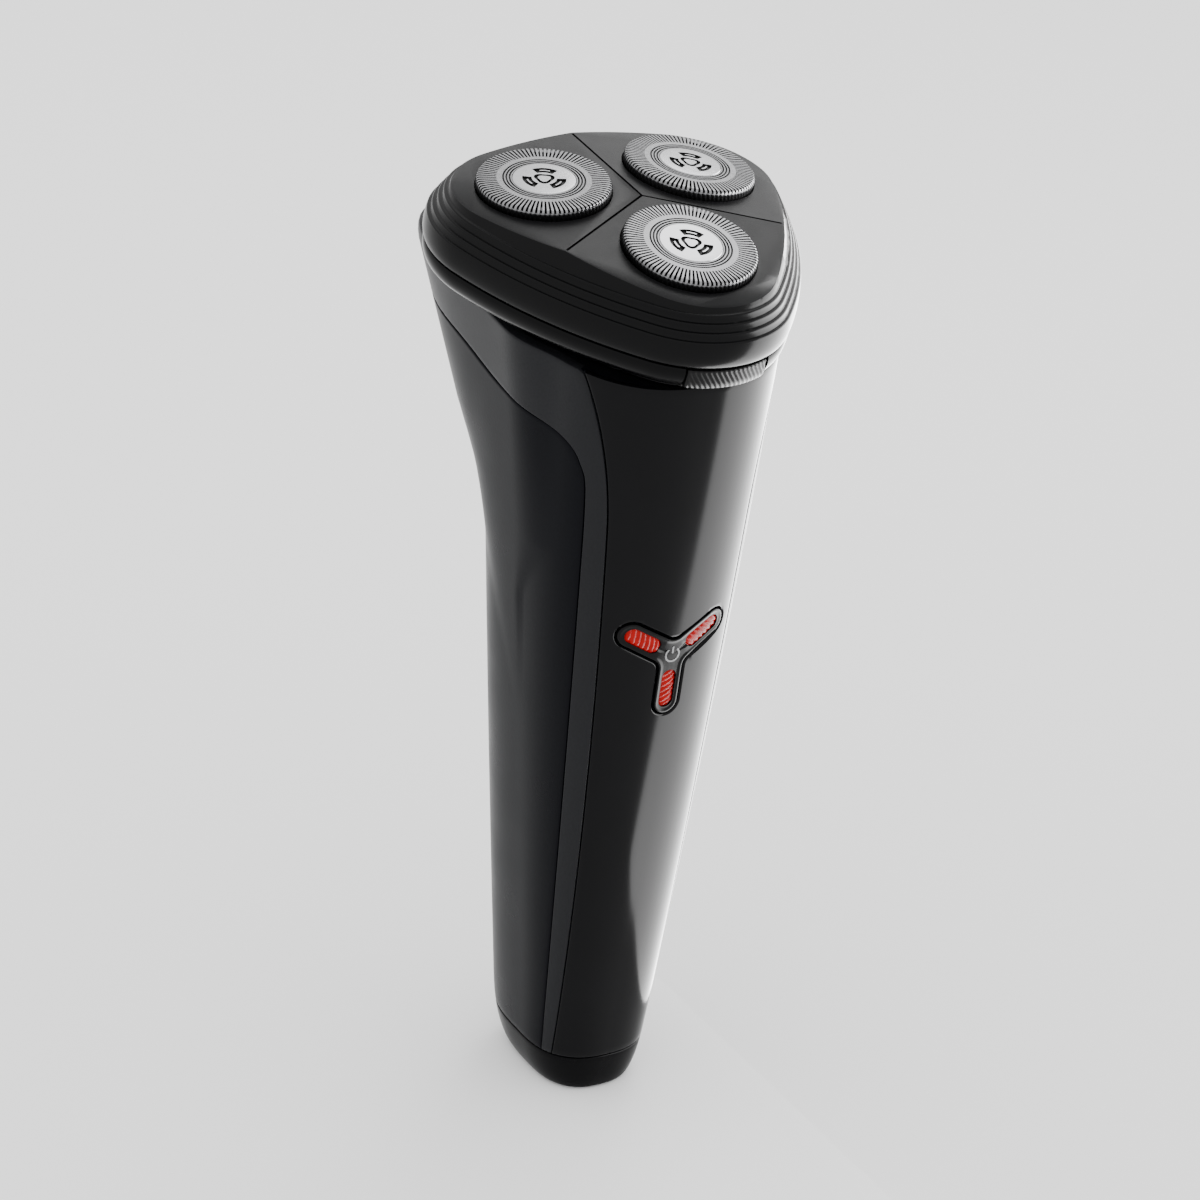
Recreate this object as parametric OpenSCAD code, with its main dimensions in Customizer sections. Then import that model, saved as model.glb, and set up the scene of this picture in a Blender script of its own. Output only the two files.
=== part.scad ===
// Rotary electric shaver: tapered handle, hinged three-head shaving unit, gear drive.
// Base face on z = 0, handle up +Z, front (power button) towards -Y. Units are mm.

/* [Shaving unit] */
// height of the shaving unit's centre above the base
head_height = 158; // [140:0.5:175]
// distance of the shaving unit's centre behind the handle axis
head_back = 1; // [-5:0.5:8]
// forward tilt of the shaving unit, degrees
head_tilt = 10.3; // [0:0.1:25]
// radius of the circle that the three cutting heads sit on
cutter_circle = 15.4; // [14:0.1:18]
// outward tilt of each cutting head, degrees
cutter_tilt = 5.4; // [0:0.1:10]
// corner radius of the rim at its widest
rim_radius = 17.6; // [15.5:0.1:18]
// bulge of each side of the rim
rim_bulge = 1.6; // [0.5:0.1:3]
// wall of the shaving unit's cover
cover_wall = 1.5; // [1.2:0.1:2.5]
// furthest the shaving unit swings open, degrees
lid_open = 100; // [60:5:110]

/* [Cutting heads] */
// radius of a shaving cap
guard_radius = 10.6; // [9:0.1:12]
// how far a cap stands above the cover
guard_proud = 1.45; // [0.5:0.05:2]
// sheet thickness of a cap
guard_sheet = 0.5; // [0.3:0.05:0.8]
// number of hair slots round a cap
slot_count = 48; // [24:6:90]
// width of one hair slot
slot_width = 0.34; // [0.2:0.02:0.6]
// radius of the centre disc
disc_radius = 4.98; // [4:0.1:6]
// number of blades on a cutter
blade_count = 9; // [5:1:15]
// how far a head can be pressed in
float_travel = 1.2; // [0.5:0.1:2]

/* [Handle] */
// thickness of the housings
wall = 2.0; // [1.6:0.1:3]
// thickness of the glossy front panel
panel_wall = 1.1; // [0.8:0.1:1.6]
// height of the joint between base cap and housings
cap_line = 7; // [5:0.5:12]
// gap between neighbouring covers
gap = 0.15; // [0.1:0.05:0.3]

/* [Drive] */
// gear module
gear_module = 0.65; // [0.5:0.05:1]
// teeth on the motor pinion
pinion_teeth = 15; // [12:3:18]
// teeth on each drive gear
gear_teeth = 30; // [24:3:36]
// backlash cut from each tooth, degrees at the drive gear
backlash = 0.35; // [0.1:0.05:1]
// radius of the motor can
motor_radius = 10.2; // [8:0.1:12]
// length of the motor can
motor_length = 25; // [20:0.5:32]

/* [Controls] */
// height of the power button's centre
button_height = 87.5; // [70:0.5:100]
// width of each arm of the power button
button_arm = 4.3; // [3.5:0.1:6]
// reach of each arm from the button's centre
button_reach = 10.9; // [8:0.1:13]
// how far the power button presses in
button_travel = 0.6; // [0.3:0.1:1.2]
// half width of the release button
release_half = 7.2; // [5:0.1:9]
// how far the release button presses in
release_travel = 1.0; // [0.5:0.1:1.5]

/* [Power] */
// diameter of the rechargeable cell
cell_diameter = 14; // [10:0.5:18]
// length of the rechargeable cell
cell_length = 48; // [40:1:65]
// distance of the charging inlet behind the handle axis
inlet_back = 6.6; // [5:0.1:9]
// diameter of a charging pin
pin_diameter = 1.6; // [1:0.1:2.5]

/* [Hidden] */
e = 0.01;
corners = [0, 120, 240];
// levels along the shaving unit's own axis, below its centre
lid_bottom = -12.0;
chamber_top = -12.15;
floor_top = -12.4;
floor_bottom = -13.3;
carrier_top = -17.0;
carrier_bottom = -18.0;
// gear train
gear_centre = gear_module * (pinion_teeth + gear_teeth) / 2;
gear_low = -16.6;
gear_high = -14.2;
// hinge of the shaving unit, in its own frame
hinge_v = 26.3;
hinge_w = -14.3;
hinge_pin_radius = 1.0;
// face angle of the front at the power button
face_lean = 4.8;
// height at which the handle's taper starts
rise = 2;

// ---------- frames ----------

module on_head() {
  translate([0, head_back, head_height])
    rotate([head_tilt, 0, 0])
      children();
}

module at_cutter(turn) {
  on_head()
    rotate([0, 0, turn])
      translate([0, -cutter_circle, 0])
        rotate([cutter_tilt, 0, 0])
          children();
}

module at_gear(turn) {
  on_head()
    rotate([0, 0, turn])
      translate([0, -gear_centre, 0])
        children();
}

// y points into the handle, z up along the front face
module on_face() {
  translate([0, -front_depth(button_height), button_height])
    rotate([face_lean, 0, 0])
      children();
}

// ---------- outline functions ----------

// three-cornered outline: corner circles of radius r joined by bulging sides
function rim(r, c = cutter_circle, b = rim_bulge) =
  let (h = c * sin(60), p = (h * h + b * b) / (2 * b), s = asin(h / p))
  [for (k = [0 : 2])
    each concat(
      [for (i = [-3 : 2 : 3])
        let (t = 90 + 120 * k, u = t + s * i / 4.6)
        (c / 2 + b - p) * [cos(t), sin(t)] + (p + r) * [cos(u), sin(u)]],
      [for (j = [-6 : 6])
        let (t = 150 + 120 * k, u = t + (60 - s) * j / 6)
        c * [cos(t), sin(t)] + r * [cos(u), sin(u)]])];

// half width, front depth and back depth of the handle at height z
function half_width(z) = let (q = z - rise) 10.2 + 0.0935 * q - 0.0001 * q * q;
function front_depth(z) = let (q = z - rise) 10.86 + 0.1243 * q - 0.00024 * q * q;
function back_depth(z) = 16.6 + 0.0438 * z;
// rounding-in towards the base, for a rounding of height h and depth d
function tuck(z, h, d) = z >= h ? 0 : d * (1 - sqrt(1 - pow((h - z) / h, 2)));
// distance of the panel's edge from the middle
function panel_edge(z) =
  8.9 + 0.018 * z + 0.00018 * z * z + (z > 110 ? 0.0045 * pow(z - 110, 2) : 0);
// line where front and rear housing meet, seen from the side
function seam_y(z) = let (q = z - rise) -5.0 - 0.116 * q + 0.00023 * q * q;

// one quarter-by-quarter superellipse
function egg(a, front, back, nf, nb, steps = 56) =
  [for (i = [0 : steps - 1])
    let (t = 360 * i / steps, c = cos(t), s = sin(t))
    let (n = s < 0 ? nf : nb, d = s < 0 ? front : back)
    [a * sign(c) * pow(abs(c), 2 / n), d * sign(s) * pow(abs(s), 2 / n)]];

function handle_section(z, inset) =
  egg(half_width(z) - tuck(z, 9, 2.0) - inset,
      front_depth(z) - tuck(z, 6, 0.8) - inset,
      back_depth(z) - tuck(z, 12, 5) - inset, 2.5, 3.2);

// rounding of the back's upper edge
function lip(z) = z < 142 ? 0 : 4.5 * (1 - sqrt(1 - min(1, pow((z - 142) / 5, 2))));
function hump_section(z, inset) =
  egg(18.5 + (z - 103) * 0.15 - lip(z) / 2 - inset, 13 - inset,
      17.2 + (z - 103) * 0.52 + 1.9 * min(1, max(0, (z - 109) / 10)) - lip(z) - inset, 2.4, 4.6);

handle_levels = [0, 0.5, 1.2, 2.2, 3.6, 5.2, 7, 9, 12, 20, 36, 54, 72, 90, 108, 124, 152];
hump_levels = [104, 109, 114, 119, 130, 142, 143.6, 144.8, 145.8, 146.5, 152];

// involute tooth: half its angle at radius r
function roll(rb, r) = let (a = acos(min(1, rb / r))) tan(a) * 180 / PI - a;
function gear_points(z, slack, tip) =
  let (rp = gear_module * z / 2, rb = rp * cos(20), rr = rp - 1.2 * gear_module)
  let (ra = rp + tip * gear_module, lo = max(rb, rr))
  [for (k = [0 : z - 1])
    let (mid = 360 * k / z)
    each concat(
      [[rr, mid - 90 / z - roll(rb, rp) + slack]],
      [for (i = [0 : 4])
        let (r = lo + (ra - lo) * i / 4)
        [r, mid - 90 / z - roll(rb, rp) + roll(rb, r) + slack]],
      [for (i = [4 : -1 : 0])
        let (r = lo + (ra - lo) * i / 4)
        [r, mid + 90 / z + roll(rb, rp) - roll(rb, r) - slack]],
      [[rr, mid + 90 / z + roll(rb, rp) - slack]])];

module toothed(z, slack, tip) {
  polygon([for (p = gear_points(z, slack, tip)) p[0] * [cos(p[1]), sin(p[1])]]);
}

// ---------- lofts ----------

// solid between outline a at level low and outline b at level high
module band(a, low, b, high) {
  hull()
    polyhedron(
      points = concat([for (p = a) [p[0], p[1], low]], [for (p = b) [p[0], p[1], high]]),
      faces = [[for (j = [0 : len(a) - 1]) j], [for (j = [0 : len(b) - 1]) len(a) + j]]);
}

module handle_loft(inset = 0) {
  for (i = [0 : len(handle_levels) - 2])
    let (low = handle_levels[i], high = handle_levels[i + 1])
      band(handle_section(low, inset), low, handle_section(high, inset), high);
}

module hump_loft(inset = 0) {
  for (i = [0 : len(hump_levels) - 2])
    let (low = hump_levels[i], high = hump_levels[i + 1])
      band(hump_section(low, inset), low, hump_section(high, inset), high);
}

// stack of rim outlines: each entry is [level, corner radius]
module rim_loft(profile) {
  for (i = [0 : len(profile) - 2])
    band(rim(profile[i][1]), profile[i][0], rim(profile[i + 1][1]), profile[i + 1][0]);
}

// space above the shaving unit's three sloping faces
module above_faces(drop = 0) {
  for (t = corners)
    rotate([0, 0, t])
      translate([0, 0, -0.2 - drop])
        rotate([cutter_tilt, 0, 0])
          translate([-50, -70, 0])
            cube([100, 80, 30]);
}

// everything above the top of the handle
module above_handle(lift = 0) {
  on_head()
    translate([-60, -60, carrier_bottom - 0.05 + lift])
      cube([120, 120, 60]);
}

// inside of the handle, under a deck with an opening for the drive
module hollow(inset) {
  difference() {
    union() {
      handle_loft(inset);
      hump_loft(inset);
    }
    difference() {
      above_handle(-wall);
      on_head()
        translate([0, 0, -30])
          linear_extrude(25)
            polygon(rim(11.6));
    }
  }
}

// side view of the front housing, drawn as [y, z] and run across x
module front_zone(shift = 0) {
  rotate([90, 0, 90])
    translate([shift, -shift, -60])
      linear_extrude(120)
        polygon(concat(
          [[-80, -10], [seam_y(0), -10]],
          [for (z = [0 : 22 : 110]) [seam_y(z), z]],
          [[-15.1, 118], [-14.4, 121], [-13.1, 123.4], [-10, 125.3], [-3.5, 127.1]],
          [[5, 129], [15, 131.9], [26, 133.9], [60, 140.6], [60, 200], [-80, 200]]));
}

// front view of the panel, drawn as [x, z] and run along y
module panel_zone(grow = 0) {
  translate([0, 0, 0])
    rotate([90, 0, 0])
      linear_extrude(60)
        polygon(concat(
          [for (z = [cap_line : 9 : 133]) [panel_edge(z) + grow, z]],
          [[panel_edge(136) + grow, 136], [panel_edge(136) + grow, 170]],
          [[-panel_edge(136) - grow, 170], [-panel_edge(136) - grow, 136]],
          [for (z = [133 : -9 : cap_line]) [-panel_edge(z) - grow, z]]));
}

// three rounded arms, extruded into the handle from local y = a to y = b
module button_star(grow, a, b, reach = button_reach, inner = 0) {
  for (turn = [-90, 30, 150])
    translate([0, b, 0])
      rotate([90, 0, 0])
        rotate([0, 0, turn])
          linear_extrude(b - a)
            union() {
              translate([inner, -button_arm / 2 - grow])
                square([reach - button_arm / 2 - inner, button_arm + 2 * grow]);
              translate([reach - button_arm / 2, 0])
                circle(r = button_arm / 2 + grow, $fn = 36);
            }
}

// curved barrel that gives the button its convex face
module button_barrel(drop = 0) {
  translate([0, 28 - 0.35 + drop, -30])
    cylinder(r = 28, h = 60, $fn = 120);
}

// ---------- shaving unit ----------

module head_cover() {
  color([0.05, 0.05, 0.055])
    on_head()
      difference() {
        union() {
          rim_loft([
            [0.3, 12.9], [-1.1, 13.4], [-2.0, 13.8], [-3.9, 14.6], [-4.1, 15.2], [-5.1, 15.35],
            [-5.3, 15.95], [-6.3, 16.1], [-6.5, 16.7], [-7.5, 16.85], [-7.7, 17.35],
            [-8.9, rim_radius], [-10.2, 17.7], [-11.2, 17.6], [lid_bottom, 17.2]]);
          // lug that carries the hinge pin
          translate([-5.7, 0, 0])
            hull() {
              translate([0, hinge_v, hinge_w])
                rotate([0, 90, 0])
                  cylinder(r = 1.9, h = 11.4, $fn = 32);
              translate([0, 23.6, -10.6])
                cube([11.4, 2.2, 0.9]);
            }
        }
        above_faces();
        difference() {
          rim_loft([
            [-1.0, 11.8], [-3.4, 12.9], [-5.8, 14.3], [-8.2, 15.4], [-11.0, 14.9], [-12.1, 14.3],
            [-12.4, 14.3]]);
          above_faces(1.4);
          // centre post with shoulder for the retaining frame
          translate([0, 0, -4.85])
            cylinder(r = 2.6, h = 6, $fn = 48);
          translate([0, 0, -8.3])
            cylinder(r = 1.6, h = 6, $fn = 48);
          translate([0, 0, -8.6])
            cylinder(r = 2.3, h = 0.7, $fn = 48);
          // catch for the release hook
          translate([-3.2, -31.5, -11.9])
            cube([6.4, 1.85, 0.8]);
        }
        // openings for the three heads
        for (t = corners)
          rotate([0, 0, t])
            translate([0, -cutter_circle, 0])
              rotate([cutter_tilt, 0, 0])
                translate([0, 0, -6])
                  cylinder(r = guard_radius + 0.25, h = 10, $fn = 72);
        // dividing grooves
        for (t = corners)
          rotate([0, 0, t + 60])
            translate([0, 0, -0.2])
              rotate([2.7, 0, 0])
                translate([-0.22, -22.8, -0.6])
                  cube([0.44, 22.8, 3]);
        // round notch where the three grooves meet
        translate([0, 0, -1])
          cylinder(r = 0.55, h = 3, $fn = 32);
        // bore for the hinge pin
        translate([-10, hinge_v, hinge_w])
          rotate([0, 90, 0])
            cylinder(r = hinge_pin_radius + 0.05, h = 20, $fn = 48);
      }
}

module retaining_frame() {
  color([0.16, 0.16, 0.17])
    on_head()
      difference() {
        union() {
          for (t = corners)
            rotate([0, 0, t]) {
              translate([0, -cutter_circle, 0])
                rotate([cutter_tilt, 0, 0])
                  translate([0, 0, -6.2])
                    hull()
                      cylinder(r = 11.9, h = 1.3, $fn = 60);
              // web between hub and ring
              hull() {
                translate([-2.4, -6.4, -5.9])
                  cube([4.8, 0.5, 1.4]);
                translate([-1.6, -2, -6.1])
                  cube([3.2, 0.5, 1.1]);
              }
            }
          translate([0, 0, -6.2])
            hull()
              cylinder(r = 6.5, h = 1.3, $fn = 48);
        }
        for (t = corners)
          rotate([0, 0, t])
            translate([0, -cutter_circle, 0])
              rotate([cutter_tilt, 0, 0])
                translate([0, 0, -9])
                  hull()
                    cylinder(r = 9.6, h = 6, $fn = 60);
        translate([0, 0, -9])
          cylinder(r = 1.9, h = 8, $fn = 48);
        // room for the post's shoulder
        translate([0, 0, -4.9])
          cylinder(r = 2.75, h = 3, $fn = 48);
      }
}

module lock_wheel() {
  color([0.12, 0.12, 0.13])
    on_head()
      difference() {
        union() {
          translate([0, 0, -7.7])
            cylinder(r = 4.6, h = 1.4, $fn = 48);
          for (t = corners)
            rotate([0, 0, t + 60])
              translate([-1.1, -7.6, -7.7])
                cube([2.2, 4.4, 1.4]);
        }
        translate([0, 0, -9])
          cylinder(r = 1.66, h = 4, $fn = 48);
        for (t = corners)
          rotate([0, 0, t])
            translate([0, -4.9, -9])
              cylinder(r = 0.9, h = 4, $fn = 24);
      }
}

module guard(turn) {
  color([0.72, 0.73, 0.75])
    at_cutter(turn)
      difference() {
        rotate_extrude($fn = 96)
          polygon([
            [0, -0.9], [6.3, -0.9], [6.5, -guard_sheet], [9.9, -guard_sheet], [9.9, -3.65],
            [11.4, -3.65], [11.4, -3.08], [guard_radius, -3.08], [guard_radius, -0.3],
            [guard_radius - 0.3, 0], [6.75, 0], [6.6, -0.12], [6.45, 0], [6.2, 0],
            [6.05, -0.12], [5.9, 0], [5.65, 0], [5.5, -0.12], [5.35, 0],
            [5.05, 0], [5.05, -0.3], [0, -0.3]]);
        for (i = [0 : slot_count - 1])
          rotate([0, 0, 360 * i / slot_count])
            translate([6.95, -slot_width / 2, -1.2])
              cube([3.1, slot_width, 2]);
      }
}

module guard_front() { guard(0); }
module guard_right() { guard(120); }
module guard_left() { guard(240); }

// centre disc with a plain three-petal relief
module cap_disc(turn) {
  color([0.8, 0.81, 0.82])
    at_cutter(turn)
      difference() {
        translate([0, 0, -0.28])
          cylinder(r = disc_radius, h = 0.34, $fn = 72);
        for (t = corners)
          rotate([0, 0, t])
            translate([0, -2.5, -0.06])
              linear_extrude(1)
                difference() {
                  circle(r = 1.25, $fn = 36);
                  circle(r = 0.75, $fn = 36);
                }
      }
}

module cap_disc_front() { cap_disc(0); }
module cap_disc_right() { cap_disc(120); }
module cap_disc_left() { cap_disc(240); }

module cutter(turn) {
  color([0.6, 0.61, 0.62])
    at_cutter(turn)
      difference() {
        union() {
          translate([0, 0, -4.6])
            cylinder(r = 8.4, h = 0.9, $fn = 72);
          translate([0, 0, -6.9])
            cylinder(r = 4.1, h = 3, $fn = 48);
          translate([0, 0, -4])
            cylinder(r = 2.4, h = 3.0, $fn = 48);
          for (i = [0 : blade_count - 1])
            rotate([0, 0, 360 * i / blade_count])
              translate([7.0, -0.3, -4.2])
                cube([2.3, 0.6, 3.62]);
        }
        // three-keyed drive socket
        difference() {
          translate([0, 0, -7.5])
            cylinder(r = 3.1, h = 3.1, $fn = 48);
          for (t = corners)
            rotate([0, 0, t + 60])
              translate([-0.5, -4, -8])
                cube([1, 2, 4]);
        }
        // relief openings between blades
        for (i = [0 : 2])
          rotate([0, 0, 120 * i + 20])
            translate([5.6, 0, -5])
              cylinder(r = 0.9, h = 2, $fn = 24);
      }
}

module cutter_front() { cutter(0); }
module cutter_right() { cutter(120); }
module cutter_left() { cutter(240); }

// ---------- chamber and drive ----------

module chamber_base() {
  color([0.03, 0.03, 0.035])
    on_head()
      difference() {
        union() {
          rim_loft([
            [chamber_top, 17.2], [-12.9, 17.3], [-13.8, 17.2], [-14.6, 16.9], [-15.3, 16.4],
            [-15.9, 15.8], [-16.4, 14.9], [carrier_top + 0.05, 13.4]]);
          // hinge ears
          for (s = [-1, 1])
            translate([s * 8.1 - 1.9, 0, 0])
              hull() {
                translate([0, hinge_v, hinge_w])
                  rotate([0, 90, 0])
                    cylinder(r = 1.9, h = 3.8, $fn = 32);
                translate([0, 22.2, -15.7])
                  cube([3.8, 1, 3.2]);
              }
        }
        // gear space
        translate([0, 0, -18])
          linear_extrude(18 + floor_bottom)
            polygon(rim(11.3));
        // recess above the floor
        translate([0, 0, floor_top])
          linear_extrude(2)
            polygon(rim(14.0));
        for (t = corners)
          rotate([0, 0, t])
            translate([0, -gear_centre, -14])
              cylinder(r = 3.4, h = 4, $fn = 48);
        // pocket for the release button, walled off from the gears
        translate([-release_half - 0.2, -40, -16.15])
          cube([2 * release_half + 0.4, 40 - 27.4, 10]);
        translate([-10, hinge_v, hinge_w])
          rotate([0, 90, 0])
            cylinder(r = hinge_pin_radius, h = 20, $fn = 48);
        translate([-5.95, 23.9, -18])
          cube([11.9, 8, 8]);
      }
}

module gear_carrier() {
  color([0.2, 0.2, 0.21])
    on_head()
      difference() {
        union() {
          translate([0, 0, carrier_bottom])
            linear_extrude(carrier_top - carrier_bottom)
              polygon(rim(12.4));
          // gear posts
          for (t = corners)
            rotate([0, 0, t])
              translate([0, -gear_centre, carrier_bottom + 0.5])
                cylinder(r = 1.0, h = -15.5 - carrier_bottom - 0.5, $fn = 36);
          // motor sleeve
          translate([0, 0, -25])
            cylinder(r = motor_radius + 1.3, h = 7.5, $fn = 72);
        }
        translate([0, 0, -26])
          cylinder(r = motor_radius + 0.05, h = 7.9, $fn = 72);
        translate([0, 0, -20])
          cylinder(r = 3.15, h = 5, $fn = 48);
        // screw holes
        for (s = [-1, 1])
          translate([s * 14.3, -8.25, -20])
            cylinder(r = 1.05, h = 5, $fn = 32);
      }
}

module carrier_screws() {
  color([0.62, 0.62, 0.64])
    on_head()
      for (s = [-1, 1])
        translate([s * 14.3, -8.25, 0])
          difference() {
            union() {
              translate([0, 0, -25])
                cylinder(r = 0.95, h = 8.1, $fn = 32);
              translate([0, 0, carrier_top + 0.02])
                cylinder(r = 1.9, h = 0.9, $fn = 32);
            }
            translate([-1.5, -0.25, carrier_top + 0.5])
              cube([3, 0.5, 1]);
            translate([-0.25, -1.5, carrier_top + 0.5])
              cube([0.5, 3, 1]);
          }
}

module drive_gear(turn) {
  color([0.85, 0.84, 0.8])
    at_gear(turn)
      difference() {
        union() {
          translate([0, 0, gear_low])
            linear_extrude(gear_high - gear_low)
              toothed(gear_teeth, backlash, 0.85);
          translate([0, 0, gear_high - 1])
            cylinder(r = 3.0, h = -9.4 - gear_high + 1, $fn = 48);
        }
        translate([0, 0, gear_low - 1])
          cylinder(r = 1.05, h = 2.3, $fn = 36);
        translate([0, 0, -15.0])
          cylinder(r = 2.2, h = 5.1, $fn = 48);
        translate([0, 0, -10.5])
          cylinder(r = 1.45, h = 3, $fn = 36);
        // lightening holes
        for (i = [0 : 4])
          rotate([0, 0, 72 * i])
            translate([5.9, 0, gear_low - 1])
              cylinder(r = 1.5, h = 6, $fn = 24);
      }
}

module drive_gear_front() { drive_gear(0); }
module drive_gear_right() { drive_gear(120); }
module drive_gear_left() { drive_gear(240); }

module drive_spindle(turn) {
  color([0.9, 0.9, 0.88])
    at_gear(turn)
      union() {
        translate([0, 0, -13.2])
          cylinder(r = 1.0, h = 2.7, $fn = 32);
        translate([0, 0, -10.65])
          cylinder(r = 2.14, h = 0.75, $fn = 48);
        translate([0, 0, -10])
          cylinder(r = 1.2, h = 5.1, $fn = 36);
        for (t = corners)
          rotate([0, 0, t])
            translate([-0.5, -2.3, -6.8])
              cube([1, 2.3, 1.8]);
      }
}

module drive_spindle_front() { drive_spindle(0); }
module drive_spindle_right() { drive_spindle(120); }
module drive_spindle_left() { drive_spindle(240); }

// coil drawn as stacked rings joined by a thin seam
module coil(radius, wire, length, turns) {
  pitch = (length - 2 * wire) / (turns - 1);
  union() {
    for (i = [0 : turns - 1])
      translate([0, 0, wire + pitch * i])
        rotate_extrude($fn = 32)
          translate([radius - wire, 0])
            circle(r = wire, $fn = 16);
    translate([radius - 1.6 * wire, -wire / 2, wire])
      cube([1.2 * wire, wire, length - 2 * wire]);
  }
}

module spindle_spring(turn) {
  color([0.75, 0.75, 0.77])
    at_gear(turn)
      translate([0, 0, -14.95])
        coil(2.05, 0.28, 4.25, 6);
}

module spindle_spring_front() { spindle_spring(0); }
module spindle_spring_right() { spindle_spring(120); }
module spindle_spring_left() { spindle_spring(240); }

module motor_pinion() {
  color([0.78, 0.66, 0.35])
    on_head() {
      translate([0, 0, gear_low])
        rotate([0, 0, -90])
          linear_extrude(gear_high - gear_low)
            toothed(pinion_teeth, 2 * backlash, 0.85);
      translate([0, 0, -24])
        cylinder(r = 1.0, h = 24 + gear_low + 0.5, $fn = 36);
    }
}

module motor() {
  color([0.66, 0.67, 0.69])
    on_head()
      difference() {
        union() {
          intersection() {
            translate([0, 0, -18.5 - motor_length])
              cylinder(r = motor_radius, h = motor_length, $fn = 72);
            translate([-motor_radius, -7.7, -60])
              cube([2 * motor_radius, 15.4, 50]);
          }
          translate([0, 0, -18.6])
            cylinder(r = 3.05, h = 1.3, $fn = 48);
          translate([0, 0, -20.4 - motor_length])
            cylinder(r = 3.4, h = 2, $fn = 48);
          for (s = [-1, 1])
            translate([s * 6.5 - 0.75, -0.25, -22 - motor_length])
              cube([1.5, 0.5, 4]);
        }
        translate([0, 0, -24.5])
          cylinder(r = 1.05, h = 9, $fn = 36);
      }
}

module hinge_pin() {
  color([0.72, 0.72, 0.74])
    on_head()
      translate([-10, hinge_v, hinge_w])
        rotate([0, 90, 0])
          cylinder(r = hinge_pin_radius, h = 20, $fn = 48);
}

module release_button() {
  color([0.07, 0.07, 0.075])
    on_head()
      difference() {
        union() {
          intersection() {
            translate([0, 0, -15.95])
              linear_extrude(3.6)
                polygon(rim(16.3));
            translate([-release_half, -40, -16])
              cube([2 * release_half, 40 - 28.5, 4]);
          }
          // hook that holds the cover
          translate([-3, -29.1, -12.6])
            cube([6, 0.6, 2.4]);
          translate([-3, -29.45, -10.95])
            cube([6, 0.95, 0.75]);
        }
        // finger ribs
        for (i = [-6 : 6])
          translate([i * 1.05 - 0.2, -33, -15.6])
            cube([0.4, 33 - 31.3 + 0.02 * i * i, 2.9]);
        // spring seat
        translate([0, -30.4, -14.15])
          rotate([-90, 0, 0])
            cylinder(r = 1.45, h = 4, $fn = 32);
      }
}

module release_spring() {
  color([0.75, 0.75, 0.77])
    on_head()
      translate([0, -30.37, -14.15])
        rotate([-90, 0, 0])
          coil(1.3, 0.22, 2.94, 5);
}

// ---------- handle covers ----------

module front_panel() {
  color([0.02, 0.02, 0.025])
    difference() {
      intersection() {
        difference() {
          handle_loft();
          handle_loft(panel_wall);
        }
        panel_zone();
        front_zone(-0.6);
      }
      translate([-40, -40, -1])
        cube([80, 80, cap_line + gap + 1]);
      above_handle(-0.1);
      on_face()
        button_star(0.15, -5, 12);
    }
}

module front_housing() {
  color([0.05, 0.05, 0.055])
    difference() {
      intersection() {
        union() {
          handle_loft();
          hump_loft();
        }
        front_zone();
      }
      hollow(wall + 0.3);
      // seat of the front panel
      intersection() {
        difference() {
          handle_loft(-1);
          handle_loft(panel_wall + 0.03);
        }
        panel_zone(0.1);
        front_zone(-0.5);
      }
      translate([-40, -40, -1])
        cube([80, 80, cap_line + gap + 1]);
      above_handle();
      on_face()
        button_star(0.25, -5, 12);
    }
}

module rear_housing() {
  color([0.03, 0.03, 0.04])
    difference() {
      union() {
        handle_loft();
        hump_loft();
      }
      front_zone(gap);
      hollow(wall);
      translate([-40, -40, -1])
        cube([80, 80, cap_line + gap + 1]);
      above_handle();
    }
}

module base_cap() {
  color([0.03, 0.03, 0.035])
    difference() {
      handle_loft();
      intersection() {
        handle_loft(wall);
        translate([-40, -40, wall])
          cube([80, 80, 80]);
      }
      translate([-40, -40, cap_line])
        cube([80, 80, 200]);
      // seat of the charging inlet
      translate([0, inlet_back, -1])
        linear_extrude(12)
          egg_slot(4.6, 2.9, 0.05);
    }
}

// stadium outline with half length a and half height b
module egg_slot(a, b, grow) {
  union() {
    square([2 * (a - b), 2 * (b + grow)], center = true);
    for (s = [-1, 1])
      translate([s * (a - b), 0])
        circle(r = b + grow, $fn = 48);
  }
}

module charge_socket() {
  color([0.08, 0.08, 0.085])
    difference() {
      union() {
        translate([0, inlet_back, 0.3])
          linear_extrude(9.2)
            egg_slot(4.6, 2.9, 0);
        translate([0, inlet_back, wall + 0.02])
          linear_extrude(7.48)
            egg_slot(5.5, 3.8, 0);
      }
      translate([0, inlet_back, -1])
        linear_extrude(9.4)
          egg_slot(4.6, 2.9, -0.55);
      for (s = [-1, 1])
        translate([s * 1.9, inlet_back, 7])
          cylinder(r = pin_diameter / 2, h = 5, $fn = 32);
    }
}

module socket_pins() {
  color([0.75, 0.76, 0.78])
    for (s = [-1, 1])
      translate([s * 1.9, inlet_back, 3.4])
        cylinder(r = pin_diameter / 2, h = 7.2, $fn = 32);
}

// ---------- controls ----------

module power_button() {
  color([0.04, 0.04, 0.045])
    on_face()
      difference() {
        union() {
          intersection() {
            button_star(0, -5, 5);
            button_barrel();
          }
          button_star(-0.3, 4.8, 5.6, button_reach - 0.4);
          translate([0, 5.5, 0])
            rotate([-90, 0, 0])
              cylinder(r = 1.6, h = 1.1, $fn = 36);
        }
        // light windows
        button_star(-0.95, -5, 4.6, button_reach - 0.8, 3.2);
        for (turn = [-90, 30, 150])
          rotate([0, -turn, 0])
            translate([3.2 + 1.2, 3, 0])
              rotate([-90, 0, 0])
                cylinder(r = 0.8, h = 6, $fn = 24);
      }
}

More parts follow.
